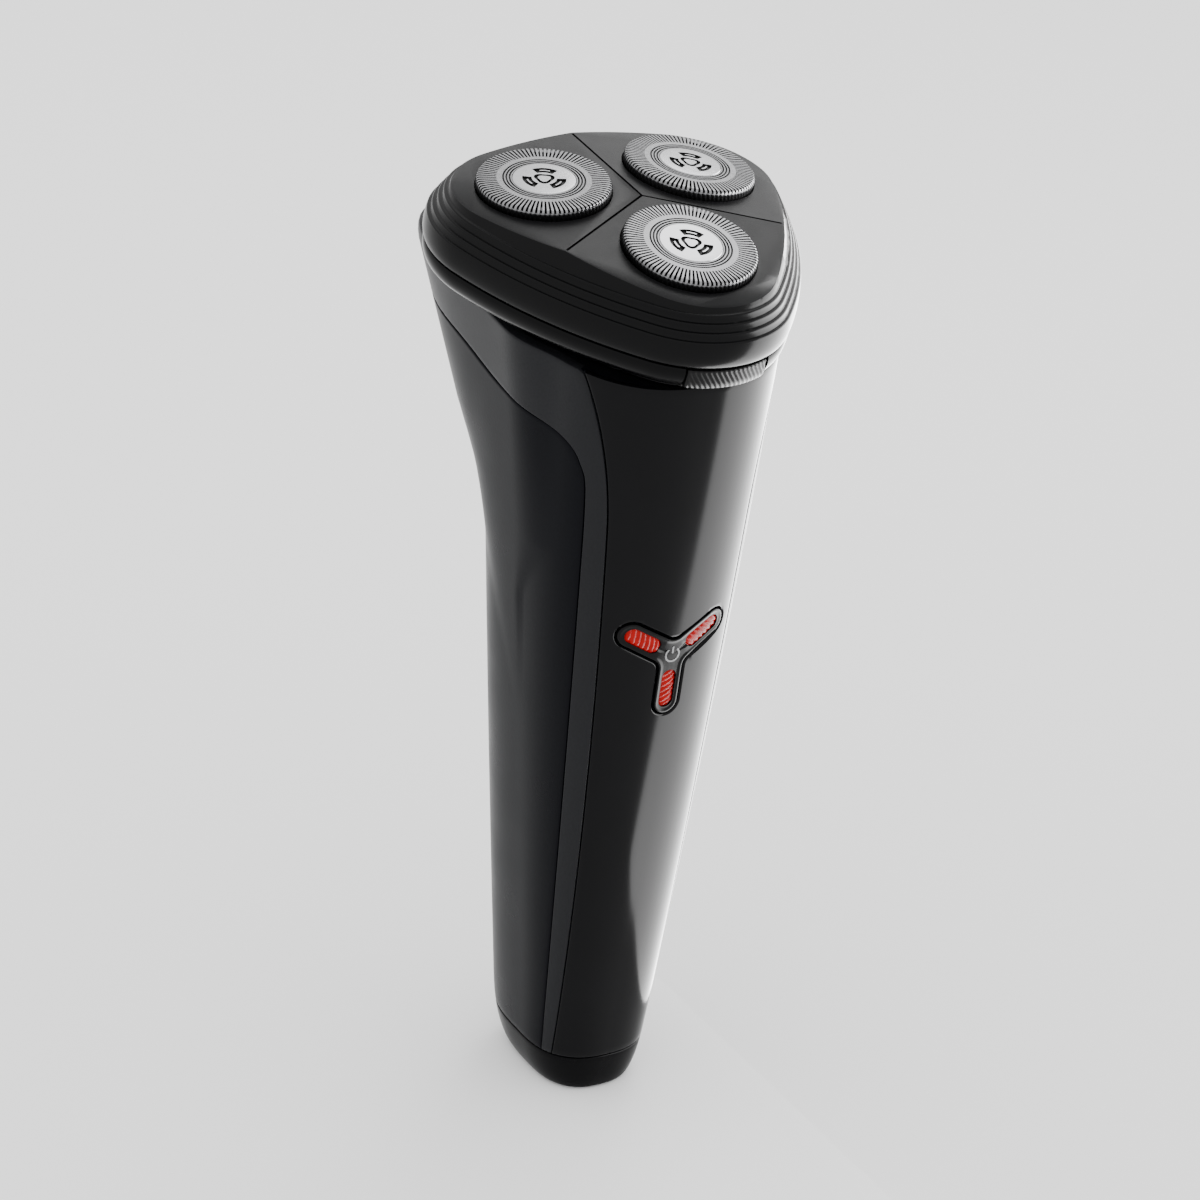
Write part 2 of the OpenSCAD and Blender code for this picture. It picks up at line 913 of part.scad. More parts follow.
module light_windows() {
  color([0.6, 0.03, 0.02])
    on_face()
      intersection() {
        button_star(-0.98, -5, 4.55, button_reach - 0.83, 3.25);
        button_barrel(0.12);
      }
}

module switch_plunger() {
  color([0.85, 0.85, 0.83])
    on_face()
      translate([0, 6.62, 0])
        rotate([-90, 0, 0])
          cylinder(r = 1.2, h = 1.3, $fn = 32);
}

module tact_switch() {
  color([0.3, 0.3, 0.32])
    on_face()
      difference() {
        translate([-3, 7.4, -3])
          cube([6, 3.08, 6]);
        translate([0, 6, 0])
          rotate([-90, 0, 0])
            cylinder(r = 1.3, h = 2.8, $fn = 32);
      }
}

module status_leds() {
  color([0.95, 0.3, 0.25])
    on_face()
      for (turn = [-90, 30, 150])
        rotate([0, -turn, 0]) {
          translate([4.8, 9.0, -1])
            cube([2, 1.48, 2]);
          translate([5.8, 9.1, 0])
            rotate([90, 0, 0])
              cylinder(r = 0.8, h = 0.8, $fn = 24);
        }
}

module circuit_board() {
  color([0.08, 0.3, 0.14])
    on_face()
      difference() {
        translate([-7.5, 10.5, -64])
          cube([15, 1.0, 80]);
        for (z = [-60, 12])
          translate([0, 9, z])
            rotate([-90, 0, 0])
              cylinder(r = 1.1, h = 4, $fn = 24);
      }
}

// ---------- inner frame and power ----------

module chassis() {
  color([0.35, 0.35, 0.36])
    union() {
      on_face()
        difference() {
          union() {
            for (s = [-1, 1])
              translate([s * 8.4 - 0.7, 9.6, -66])
                cube([1.4, 4.6, 88]);
            for (z = [-66, -14, 18])
              translate([-9.1, 11.6, z])
                cube([18.2, 2.4, 3]);
          }
          translate([-7.55, 10.45, -64.1])
            cube([15.1, 1.1, 80.2]);
        }
      // cradle of the cell
      for (z = [30, 62])
        difference() {
          translate([-8.4, -9, z])
            cube([16.8, 19.2, 4]);
          translate([0, 8.2, z - 1])
            cylinder(r = cell_diameter / 2 + 0.05, h = 6, $fn = 64);
          on_face()
            translate([-9.2, -5, -70])
              cube([18.4, 17, 100]);
        }
      // screw towers up to the gear carrier, and their arms
      on_head()
        for (s = [-1, 1])
          translate([s * 14.3, -8.25, 0]) {
            difference() {
              translate([-1.7, -1.7, -47])
                cube([3.4, 3.4, 47 + carrier_bottom - 0.02]);
              translate([0, 0, -26])
                cylinder(r = 0.97, h = 12, $fn = 32);
            }
            translate([s * -3.3 - 3.3, -1.7, -47])
              cube([6.6, 3.4, 3]);
            translate([s * -4.3 - 2.3, -12.5, -47])
              cube([4.6, 12, 3]);
          }
    }
}

module battery() {
  color([0.2, 0.45, 0.3])
    translate([0, 8.2, 18])
      union() {
        cylinder(r = cell_diameter / 2, h = cell_length, $fn = 72);
        translate([0, 0, cell_length - e])
          cylinder(r = 2.6, h = 1.3, $fn = 36);
      }
}

module battery_tabs() {
  color([0.75, 0.74, 0.7])
    union() {
      translate([-2, 2.4, 17.65])
        cube([4, 7.8, 0.33]);
      translate([-2, 0.8, 17.65])
        cube([4, 1.7, 0.33]);
      translate([-2, 2.9, 18 + cell_length + 1.31])
        cube([4, 7.3, 0.33]);
    }
}

// ---------- part ----------

head_cover();
retaining_frame();
lock_wheel();
guard_front();
guard_right();
guard_left();
cap_disc_front();
cap_disc_right();
cap_disc_left();
cutter_front();
cutter_right();
cutter_left();
chamber_base();
gear_carrier();
hinge_pin();
drive_gear_front();
drive_gear_right();
drive_gear_left();
drive_spindle_front();
drive_spindle_right();
drive_spindle_left();
spindle_spring_front();
spindle_spring_right();
spindle_spring_left();
motor();
motor_pinion();
carrier_screws();
release_button();
release_spring();
front_panel();
front_housing();
rear_housing();
base_cap();
chassis();
power_button();
light_windows();
switch_plunger();
circuit_board();
tact_switch();
status_leds();
battery();
battery_tabs();
charge_socket();
socket_pins();
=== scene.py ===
import math

import bmesh
import bpy
import numpy as np
from mathutils import Matrix, Vector


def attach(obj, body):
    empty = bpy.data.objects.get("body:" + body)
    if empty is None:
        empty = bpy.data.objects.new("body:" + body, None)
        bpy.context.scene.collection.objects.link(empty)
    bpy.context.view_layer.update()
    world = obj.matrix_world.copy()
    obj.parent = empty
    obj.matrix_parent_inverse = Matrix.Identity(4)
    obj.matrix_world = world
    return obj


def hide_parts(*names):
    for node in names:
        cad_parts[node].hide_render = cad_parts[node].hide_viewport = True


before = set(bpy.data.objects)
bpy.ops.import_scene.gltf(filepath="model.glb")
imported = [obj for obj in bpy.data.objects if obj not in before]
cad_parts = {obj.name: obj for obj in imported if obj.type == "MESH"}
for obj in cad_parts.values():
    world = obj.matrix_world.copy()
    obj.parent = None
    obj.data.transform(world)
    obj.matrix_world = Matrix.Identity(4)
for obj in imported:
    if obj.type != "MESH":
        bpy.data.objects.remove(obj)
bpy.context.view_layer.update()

MM = 0.001
PI = math.pi

# ---------------------------------------------------------------- shape of the part, in mm
TILT = math.radians(10.3)    # the head leans forward
SLOPE = math.radians(5.4)    # each of the head's three faces falls outwards
CORNERS = (0, 120, 240)
SIDES = {"front": 0, "right": 120, "left": 240}
CUTTER_CIRCLE = 15.4         # from the head's axis to each cap's axis
RIM_BULGE = 1.6              # how far the sides of the head's outline bow out
CAP_LINE = 7.0               # top of the base cap
BUTTON_Z = 87.5
TOP_LEVEL = -18.05           # top of the handle, in the head's frame
SEAM_JOIN = 110.0            # where the straight part of the side seam meets its hook


def rot(axis, degrees):
    return Matrix.Rotation(math.radians(degrees), 4, axis)


HEAD = Matrix.Translation((0, 1, 158)) @ Matrix.Rotation(TILT, 4, "X")
TO_HEAD = HEAD.inverted()


def cutter_frame(turn):
    out_to_cap = Matrix.Translation((0, -CUTTER_CIRCLE, 0))
    return HEAD @ rot("Z", turn) @ out_to_cap @ Matrix.Rotation(SLOPE, 4, "X")


def half_width(z):
    q = z - 2
    return 10.2 + 0.0935 * q - 0.0001 * q * q


def front_depth(z):
    q = z - 2
    return 10.86 + 0.1243 * q - 0.00024 * q * q


def back_depth(z):
    return 16.6 + 0.0438 * z


def tuck(z, h, d):
    k = np.clip((h - z) / h, 0, 1)
    return d * (1 - np.sqrt(np.maximum(0, 1 - k * k)))


def lip(z):
    k = np.clip((z - 142) / 5, 0, 1)
    return 4.5 * (1 - np.sqrt(np.maximum(0, 1 - k * k)))


def panel_edge(z):
    return 8.9 + 0.018 * z + 0.00018 * z * z + 0.0045 * np.maximum(0, z - 110) ** 2


def seam_y(z):
    q = z - 2
    return -5.0 - 0.116 * q + 0.00023 * q * q


def polar_egg(c, s, a, front, back, nf, nb):
    n = np.where(s < 0, nf, nb)
    d = np.where(s < 0, front, back)
    return ((np.abs(c) / a) ** n + (np.abs(s) / d) ** n) ** (-1 / n)


def skin_radius(phi, z, inset=0.0):
    c, s = np.cos(phi), np.sin(phi)
    c = np.where(np.abs(c) < 1e-9, 1e-9, c)
    handle = polar_egg(
        c, s,
        half_width(z) - tuck(z, 9, 2.0) - inset,
        front_depth(z) - tuck(z, 6, 0.8) - inset,
        back_depth(z) - tuck(z, 12, 5) - inset,
        2.5, 3.2)
    ramp = np.clip((z - 109) / 10, 0, 1)
    hump = polar_egg(
        c, s,
        np.maximum(2, 18.5 + (z - 103) * 0.15 - lip(z) / 2 - inset),
        np.clip(z - 91, 2, 13 - inset),
        np.maximum(2, 17.2 + (z - 103) * 0.52 + 1.9 * ramp - lip(z) - inset),
        2.4, 4.6)
    blend = 2.6
    h = np.maximum(blend - np.abs(handle - hump), 0) / blend
    return np.maximum(handle, hump) + h * h * blend / 4


def skin(phi, z, depth=0.0):
    """Point on the handle's outside at angle phi and height z, pushed in by depth."""
    def at(p, q):
        r = skin_radius(p, q)
        return np.stack([r * np.cos(p), r * np.sin(p), q], -1)
    step = 1e-3
    p0 = at(phi, z)
    du = at(phi + step, z) - at(phi - step, z)
    dv = at(phi, z + 0.05) - at(phi, z - 0.05)
    n = np.cross(du, dv)
    n /= np.linalg.norm(n, axis=-1, keepdims=True)
    return p0 - n * np.asarray(depth)[..., None]


def top_z(phi):
    z = np.full_like(np.asarray(phi, float), 142.0)
    for _ in range(30):
        y = skin_radius(phi, z) * np.sin(phi)
        z = 158 + (TOP_LEVEL + (y - 1) * math.sin(TILT)) / math.cos(TILT)
    return z


def solve_phi(value, z, lo, hi, axis):
    lo = np.full_like(z, lo, float)
    hi = np.full_like(z, hi, float)
    for _ in range(50):
        mid = (lo + hi) / 2
        r = skin_radius(mid, z)
        got = r * (np.cos(mid) if axis == "x" else np.sin(mid))
        low = got < value
        lo = np.where(low, mid, lo)
        hi = np.where(low, hi, mid)
    return (lo + hi) / 2


def smooth_path(points, count):
    """Even points along a smooth curve through the given ones."""
    p = np.array(points, float)
    ext = np.vstack([2 * p[0] - p[1], p, 2 * p[-1] - p[-2]])
    out = []
    for i in range(1, len(ext) - 2):
        a, b, c, d = ext[i - 1:i + 3]
        for t in np.linspace(0, 1, 24, endpoint=False):
            out.append(0.5 * (2 * b + (c - a) * t + (2 * a - 5 * b + 4 * c - d) * t * t
                              + (3 * b - a - 3 * c + d) * t ** 3))
    out.append(p[-1])
    out = np.array(out)
    s = np.r_[0, np.cumsum(np.linalg.norm(np.diff(out, axis=0), axis=1))]
    want = np.linspace(0, s[-1], count)
    return np.stack([np.interp(want, s, out[:, k]) for k in range(out.shape[1])], 1)


def rim_points(r, per_side=24, per_corner=40):
    c, b = CUTTER_CIRCLE, RIM_BULGE
    h = c * math.sin(PI / 3)
    p = (h * h + b * b) / (2 * b)
    s = math.asin(h / p)
    out = []
    for k in range(3):
        t = math.radians(90 + 120 * k)
        for i in range(per_side):
            u = t + s * (2 * (i + 0.5) / per_side - 1)
            out.append(((c / 2 + b - p) * math.cos(t) + (p + r) * math.cos(u),
                        (c / 2 + b - p) * math.sin(t) + (p + r) * math.sin(u)))
        t = math.radians(150 + 120 * k)
        for j in range(per_corner + 1):
            u = t + (PI / 3 - s) * (2 * j / per_corner - 1)
            out.append((c * math.cos(t) + r * math.cos(u), c * math.sin(t) + r * math.sin(u)))
    return out


# ---------------------------------------------------------------- mesh helpers

def add_mesh(name, verts, faces, matrix=None):
    me = bpy.data.meshes.new(name)
    pts = [Vector(v) for v in verts]
    if matrix is not None:
        pts = [matrix @ v for v in pts]
    me.from_pydata([v * MM for v in pts], [], faces)
    me.update()
    ob = bpy.data.objects.new(name, me)
    bpy.context.scene.collection.objects.link(ob)
    return ob


def tidy_mesh(ob, angle=32, merge=0.0005):
    bm = bmesh.new()
    bm.from_mesh(ob.data)
    bmesh.ops.remove_doubles(bm, verts=bm.verts, dist=merge * MM)
    bmesh.ops.recalc_face_normals(bm, faces=bm.faces)
    bm.to_mesh(ob.data)
    bm.free()
    for p in ob.data.polygons:
        p.use_smooth = True
    ob.data.set_sharp_from_angle(angle=math.radians(angle))
    return ob


def evaluated(ob):
    deps = bpy.context.evaluated_depsgraph_get()
    me = bpy.data.meshes.new_from_object(ob.evaluated_get(deps))
    old = ob.data
    ob.modifiers.clear()
    ob.data = me
    bpy.data.meshes.remove(old)
    return ob


def cut(ob, tool, operation="DIFFERENCE"):
    m = ob.modifiers.new("cut", "BOOLEAN")
    m.operation = operation
    m.solver = "EXACT"
    m.object = tool
    evaluated(ob)
    bpy.data.objects.remove(tool)
    return ob


def bevel(ob, width, segments=2, angle=35):
    m = ob.modifiers.new("bevel", "BEVEL")
    m.width = width * MM
    m.segments = segments
    m.limit_method = "ANGLE"
    m.angle_limit = math.radians(angle)
    m.harden_normals = False
    return evaluated(ob)


def join(ob, *others):
    for other in others:
        bm = bmesh.new()
        bm.from_mesh(ob.data)
        bm.from_mesh(other.data)
        bm.to_mesh(ob.data)
        bm.free()
        bpy.data.objects.remove(other)
    return ob


def ring_loft(name, rings, levels, matrix=None):
    """Closed solid through outlines with equal point counts, from low to high."""
    n = len(rings[0])
    verts = [(x, y, z) for ring, z in zip(rings, levels) for x, y in ring]
    faces = [list(range(n))[::-1], [(len(rings) - 1) * n + j for j in range(n)]]
    for i in range(len(rings) - 1):
        for j in range(n):
            k = (j + 1) % n
            faces.append((i * n + j, i * n + k, (i + 1) * n + k, (i + 1) * n + j))
    return add_mesh(name, verts, faces, matrix)


def rim_solid(name, profile, matrix=HEAD):
    """Solid through rim outlines: profile is [(level, radius)], any order."""
    prof = sorted(profile)
    return ring_loft(name, [rim_points(r) for _, r in prof], [w for w, _ in prof], matrix)


def cylinder(name, r, low, high, matrix=None, steps=96, top=None):
    rings = []
    for radius in (r, r if top is None else top):
        rings.append([(radius * math.cos(2 * PI * i / steps), radius * math.sin(2 * PI * i / steps))
                      for i in range(steps)])
    return ring_loft(name, rings, [low, high], matrix)


def box(name, lo, hi, matrix=None):
    (a, b, c), (d, e, f) = lo, hi
    return ring_loft(name, [[(a, b), (d, b), (d, e), (a, e)]] * 2, [c, f], matrix)


def hull(name, points, matrix=None):
    ob = add_mesh(name, points, [], matrix)
    bm = bmesh.new()
    bm.from_mesh(ob.data)
    got = bmesh.ops.convex_hull(bm, input=bm.verts)
    bmesh.ops.delete(bm, geom=got["geom_interior"], context="VERTS")
    bm.to_mesh(ob.data)
    bm.free()
    return ob


def patch(name, point, s_list, u_list, s_edge, u_edge, thick, mirror=True):
    """Closed shell over a grid. point(s, u, depth) gives the outside; the edges are rounded."""
    s = np.array(s_list)
    u = np.array(u_list)
    ss, uu = np.meshgrid(s, u, indexing="ij")
    depth = np.maximum(np.array(s_edge)[:, None], np.array(u_edge)[None, :])
    outer = point(ss, uu, depth)
    inner = point(ss, uu, np.full_like(depth, thick))
    ns, nu = ss.shape
    verts = list(outer.reshape(-1, 3)) + list(inner.reshape(-1, 3))
    faces = []
    for i in range(ns - 1):
        for j in range(nu - 1):
            a, b, c, d = i * nu + j, (i + 1) * nu + j, (i + 1) * nu + j + 1, i * nu + j + 1
            faces.append((a, b, c, d))
            faces.append(tuple(v + ns * nu for v in (d, c, b, a)))
    edge = [i * nu for i in range(ns)] + [(ns - 1) * nu + j for j in range(1, nu)]
    edge += [i * nu + nu - 1 for i in range(ns - 2, -1, -1)] + [j for j in range(nu - 2, 0, -1)]
    for a, b in zip(edge, edge[1:] + edge[:1]):
        faces.append((a, b, b + ns * nu, a + ns * nu))
    if mirror:
        n = len(verts)
        verts += [np.array((-v[0], v[1], v[2])) for v in verts]
        faces += [tuple(k + n for k in f[::-1]) for f in faces]
        keep = []
        for f in faces:
            if all(abs(verts[k][0]) < 1e-3 for k in f):
                continue
            keep.append(f)
        faces = keep
    for v in verts:
        if abs(v[0]) < 1e-3:
            v[0] = 0.0
    ob = add_mesh(name, verts, faces)
    return tidy_mesh(ob, 40, 0.002)


ROUND = ((0.0, 0.30), (0.07, 0.13), (0.18, 0.04), (0.36, 0.0))


def graded(length, count, start=True, end=True, offset=0.075):
    """Positions 0..1 along a strip with close rows at its rounded edges, and their depths."""
    pos, depth = [], []
    lo = offset if start else 0.0
    hi = length - (offset if end else 0.0)
    if start:
        pos += [lo + d for d, _ in ROUND]
        depth += [k for _, k in ROUND]
    else:
        pos.append(lo)
        depth.append(0.0)
    tail = [(hi - d, k) for d, k in ROUND[::-1]] if end else [(hi, 0.0)]
    inner = np.linspace(pos[-1], tail[0][0], count + 2)[1:-1]
    pos += list(inner) + [p for p, _ in tail]
    depth += [0.0] * count + [k for _, k in tail]
    return np.array(pos) / length, np.array(depth)


# ---------------------------------------------------------------- materials

def material(name, color, rough, metal=0.0, grain=400.0, bump=0.02, spread=0.06, coat=0.0,
             specular=0.5, tint=0.15, emission=None, stretch=(1, 1, 1), vector="Object",
             detail=4.0):
    m = bpy.data.materials.new(name)
    m.use_nodes = True
    nt = m.node_tree
    bsdf = nt.nodes["Principled BSDF"]
    tex = nt.nodes.new("ShaderNodeTexCoord")
    mapping = nt.nodes.new("ShaderNodeMapping")
    mapping.inputs["Scale"].default_value = stretch
    nt.links.new(tex.outputs[vector], mapping.inputs["Vector"])
    noise = nt.nodes.new("ShaderNodeTexNoise")
    noise.inputs["Scale"].default_value = grain
    noise.inputs["Detail"].default_value = detail
    noise.inputs["Roughness"].default_value = 0.55
    nt.links.new(mapping.outputs["Vector"], noise.inputs["Vector"])
    wide = nt.nodes.new("ShaderNodeTexNoise")
    wide.inputs["Scale"].default_value = grain / 22
    wide.inputs["Detail"].default_value = 3.0
    nt.links.new(mapping.outputs["Vector"], wide.inputs["Vector"])
    to_rough = nt.nodes.new("ShaderNodeMapRange")
    to_rough.inputs["From Min"].default_value = 0.3
    to_rough.inputs["From Max"].default_value = 0.7
    to_rough.inputs["To Min"].default_value = max(0.02, rough - spread)
    to_rough.inputs["To Max"].default_value = min(1.0, rough + spread)
    nt.links.new(wide.outputs["Fac"], to_rough.inputs["Value"])
    nt.links.new(to_rough.outputs["Result"], bsdf.inputs["Roughness"])
    ramp = nt.nodes.new("ShaderNodeValToRGB")
    ramp.color_ramp.elements[0].position = 0.25
    ramp.color_ramp.elements[1].position = 0.75
    ramp.color_ramp.elements[0].color = [c * (1 - tint) for c in color] + [1]
    ramp.color_ramp.elements[1].color = [min(1, c * (1 + tint)) for c in color] + [1]
    nt.links.new(noise.outputs["Fac"], ramp.inputs["Fac"])
    nt.links.new(ramp.outputs["Color"], bsdf.inputs["Base Color"])
    if bump:
        b = nt.nodes.new("ShaderNodeBump")
        b.inputs["Strength"].default_value = bump
        b.inputs["Distance"].default_value = 0.0002
        nt.links.new(noise.outputs["Fac"], b.inputs["Height"])
        nt.links.new(b.outputs["Normal"], bsdf.inputs["Normal"])
    bsdf.inputs["Metallic"].default_value = metal
    bsdf.inputs["Specular IOR Level"].default_value = specular
    bsdf.inputs["Coat Weight"].default_value = coat
    bsdf.inputs["Coat Roughness"].default_value = 0.05
    if emission:
        glow, strength = emission
        bsdf.inputs["Emission Color"].default_value = list(glow) + [1]
        bsdf.inputs["Emission Strength"].default_value = strength
    return m


LOOKS = {
    "panel": material("panel_gloss_black", (0.0018, 0.0018, 0.0022), 0.14, grain=90, bump=0.0,
                      spread=0.03, specular=0.085, tint=0.2),
    "front": material("anthracite_satin", (0.0075, 0.0078, 0.009), 0.34, grain=2600, bump=0.08,
                      spread=0.03, specular=0.10),
    "rear": material("rear_black", (0.0018, 0.0020, 0.0031), 0.3, grain=1800, bump=0.05, spread=0.04,
                     specular=0.05),
    "base": material("base_black", (0.0016, 0.0016, 0.0019), 0.25, grain=900, bump=0.02,
                     specular=0.05),
    "cover": material("cover_black", (0.0014, 0.0014, 0.0016), 0.2, grain=2200, bump=0.03, spread=0.03,
                      specular=0.085),
    "plate": material("plate_satin", (0.0050, 0.0050, 0.0054), 0.33, grain=5200, bump=0.14, spread=0.03,
                      specular=0.09, tint=0.1),
    "chamber": material("chamber_gloss", (0.001, 0.001, 0.0012), 0.16, grain=800, bump=0.01,
                        specular=0.07),
    "knob": material("knob_black", (0.0028, 0.0028, 0.003), 0.36, grain=2600, bump=0.1, specular=0.12),
    "button": material("button_black", (0.0015, 0.0015, 0.0017), 0.22, grain=1200, bump=0.02,
                       specular=0.1),
    "icon": material("icon_grey", (0.09, 0.09, 0.095), 0.3, grain=1500, bump=0.03),
    "window": material("window_red", (0.22, 0.002, 0.002), 0.22, grain=700, bump=0.03, spread=0.08,
                       tint=0.3, specular=0.08, emission=((1.0, 0.008, 0.006), 0.10)),
    "steel": material("steel_ground", (0.19, 0.19, 0.195), 0.27, metal=1.0, grain=60, bump=0.12,
                      spread=0.05, tint=0.1, stretch=(0.5, 60, 1), vector="UV", detail=6),
    "disc": material("steel_disc", (0.40, 0.40, 0.41), 0.22, metal=1.0, grain=60, bump=0.06,
                     spread=0.04, tint=0.05, stretch=(0.5, 60, 1), vector="UV", detail=6),
    "side": material("cap_side_dark", (0.022, 0.022, 0.023), 0.36, metal=1.0, grain=1500, bump=0.1),
    # black for the centre discs' own emblem, and painted shade on the caps' slot walls, grooves and
    # undersides
    "emblem_and_shade": material("black_emblem_and_painted_shade", (0.004, 0.004, 0.004), 0.5, grain=2000, bump=0.1, specular=0.2),
    "bright": material("steel_bright", (0.62, 0.62, 0.64), 0.24, metal=1.0, grain=1200, bump=0.08),
    "blade": material("blade_steel", (0.07, 0.07, 0.072), 0.3, metal=1.0, grain=900, bump=0.1),
    "brass": material("brass_turned", (0.62, 0.42, 0.16), 0.25, metal=1.0, grain=1600, bump=0.08),
    "acetal": material("acetal_natural", (0.68, 0.66, 0.6), 0.42, grain=1500, bump=0.08, tint=0.05),
    "grey": material("moulded_grey", (0.13, 0.13, 0.135), 0.5, grain=1400, bump=0.15),
    "dark": material("moulded_dark", (0.022, 0.022, 0.023), 0.48, grain=1800, bump=0.15),
    "board": material("board_green", (0.012, 0.10, 0.035), 0.4, grain=500, bump=0.1, tint=0.3),
    "cell": material("cell_sleeve", (0.03, 0.16, 0.06), 0.3, grain=300, bump=0.05, tint=0.1),
    "white": material("moulded_white", (0.6, 0.6, 0.58), 0.4, grain=1200, bump=0.05, tint=0.04),
}


def dress(ob, *names):
    ob.data.materials.clear()
    for n in names:
        ob.data.materials.append(LOOKS[n])
    return ob


def finish_piece(ob, body, slot, replaced, *names):
    dress(ob, *names)
    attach(ob, body)
    if replaced:
        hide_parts(replaced)
    return ob


# ---------------------------------------------------------------- handle covers

def panel_phi(z):
    return solve_phi(panel_edge(z), z, -PI / 2, 0.0, "x")


def panel_corner():
    z = np.array([138.0])
    for _ in range(60):
        z = top_z(panel_phi(z))
    return float(z[0])


PANEL_TOP = panel_corner()


def panel_point(s, u, depth):
    low = CAP_LINE
    edge_top = panel_phi(np.array([PANEL_TOP]))[0]
    phi_top = edge_top + (-PI / 2 - edge_top) * s
    high = top_z(phi_top)
    z = low + (high - low) * u
    z_edge = low + (PANEL_TOP - low) * u
    phi = panel_phi(z_edge)
    phi = phi + (-PI / 2 - phi) * s
    return skin(phi, z, depth)


s_list, s_edge = graded(13.0, 26, True, False)
u_list, u_edge = graded(131.0, 110)
panel = patch("panel", panel_point, s_list, u_list, s_edge, u_edge, 1.1)

# seam between the front and rear housings: (y, z) here, then as (phi, z) on the right side
seam_side = [(float(seam_y(z)), z) for z in (98.0, 104.0, 110.0)]
seam_side += [(-15.1, 118), (-14.4, 121), (-13.1, 123.4), (-10, 125.3), (-3.5, 127.1), (5, 129),
              (15, 131.9), (26, 133.9), (37.2, 136.1)]
curve = smooth_path(seam_side, 220)
seam_start = int(np.argmin(np.abs(curve[:, 1] - SEAM_JOIN)))
curve = curve[seam_start:]
curve[0] = (seam_y(SEAM_JOIN), SEAM_JOIN)
reach = skin_radius(np.full(len(curve), PI / 2), curve[:, 1])
inside = curve[:, 0] < reach - 0.02
curve = curve[inside]
curve_phi = solve_phi(curve[:, 0], curve[:, 1], -PI / 2, PI / 2, "y")
end_z = float(curve[-1, 1] + (reach[inside][-1] - curve[-1, 0]) * 0.19)
seam_upper = np.vstack([np.stack([curve_phi, curve[:, 1]], 1), [[PI / 2, end_z]]])


def along(points, t):
    p3 = skin(points[:, 0], points[:, 1])
    s = np.r_[0, np.cumsum(np.linalg.norm(np.diff(p3, axis=0), axis=1))]
    s /= s[-1]
    return np.interp(t, s, points[:, 0]), np.interp(t, s, points[:, 1])


LOWER = 0.6      # share of the rows that follow the straight part of the seam
zs = np.linspace(SEAM_JOIN, PANEL_TOP, 40)
panel_side = np.stack([panel_phi(zs), zs], 1)
phis = np.linspace(panel_side[-1, 0], PI / 2, 120)
top_side = np.stack([phis, top_z(phis)], 1)
SPLIT = 0.42     # share of the other rows beside the panel, the rest go over the top


def seam_line(u):
    low = np.clip(u / LOWER, 0, 1)
    z = CAP_LINE + (SEAM_JOIN - CAP_LINE) * low
    phi = solve_phi(seam_y(z), z, -PI / 2, PI / 2, "y")
    t = np.clip((u - LOWER) / (1 - LOWER), 0, 1)
    p2, z2 = along(seam_upper, t)
    upper = u > LOWER
    return np.where(upper, p2, phi), np.where(upper, z2, z)


def outer_line(u):
    low = np.clip(u / LOWER, 0, 1)
    z = CAP_LINE + (SEAM_JOIN - CAP_LINE) * low
    phi = panel_phi(z)
    t = np.clip((u - LOWER) / (1 - LOWER), 0, 1)
    p2, z2 = along(panel_side, np.clip(t / SPLIT, 0, 1))
    p3, z3 = along(top_side, np.clip((t - SPLIT) / (1 - SPLIT), 0, 1))
    upper = u > LOWER
    phi = np.where(upper, np.where(t > SPLIT, p3, p2), phi)
    z = np.where(upper, np.where(t > SPLIT, z3, z2), z)
    return phi, z


def band_point(s, u, depth):
    p0, z0 = seam_line(u)
    p1, z1 = outer_line(u)
    return skin(p0 + (p1 - p0) * s, z0 + (z1 - z0) * s, depth)


def rear_point(s, u, depth):
    p0, z0 = seam_line(u)
    t = np.clip((u - LOWER) / (1 - LOWER), 0, 1)
    z1 = np.where(u > LOWER, SEAM_JOIN + (end_z - SEAM_JOIN) * t, z0)
    return skin(p0 + (PI / 2 - p0) * s, z0 + (z1 - z0) * s, depth)


s_list, s_edge = graded(9.0, 22)
u_list, u_edge = graded(190.0, 190, True, False)
front_cover = patch("front_cover", band_point, s_list, u_list, s_edge, u_edge, 1.9)
s_list, s_edge = graded(30.0, 46, True, False)
u_list, u_edge = graded(190.0, 190, True, False)
rear_cover = patch("rear_cover", rear_point, s_list, u_list, s_edge, u_edge, 1.9)

# deck that closes the top of the handle behind the drive
deck_phi = np.linspace(0, 2 * PI, 240, endpoint=False)
fold = np.where(np.cos(deck_phi) >= 0, deck_phi, PI - deck_phi)
fold = (fold + PI) % (2 * PI) - PI
deck_z = top_z(fold)
deck_r = skin_radius(fold, deck_z) - 0.7
outer_xyz = np.stack([deck_r * np.cos(deck_phi), deck_r * np.sin(deck_phi), deck_z], 1)
outer_head = np.array([TO_HEAD @ Vector(p) for p in outer_xyz])
hole = np.array(rim_points(11.6))
hole_angle = np.unwrap(np.arctan2(hole[:, 1], hole[:, 0]))
hole_radius = np.hypot(hole[:, 0], hole[:, 1])
order = np.argsort(hole_angle % (2 * PI))
outer_angle = np.arctan2(outer_head[:, 1], outer_head[:, 0]) % (2 * PI)
inner_r = np.interp(outer_angle, (hole_angle % (2 * PI))[order], hole_radius[order], period=2 * PI)
outer_r = np.hypot(outer_head[:, 0], outer_head[:, 1])
inner_r = np.minimum(inner_r, outer_r - 0.3)
verts, faces = [], []
for level in (TOP_LEVEL - 0.15, TOP_LEVEL - 1.6):
    for r in (outer_r, inner_r):
        verts += [(a * math.cos(t), a * math.sin(t), level) for a, t in zip(r, outer_angle)]
n = len(outer_angle)
for j in range(n):
    k = (j + 1) % n
    faces += [(j, k, n + k, n + j), (2 * n + k, 2 * n + j, 3 * n + j, 3 * n + k),
              (k, j, 2 * n + j, 2 * n + k), (n + j, n + k, 3 * n + k, 3 * n + j)]
deck = tidy_mesh(add_mesh("deck", verts, faces, HEAD))
join(rear_cover, deck)

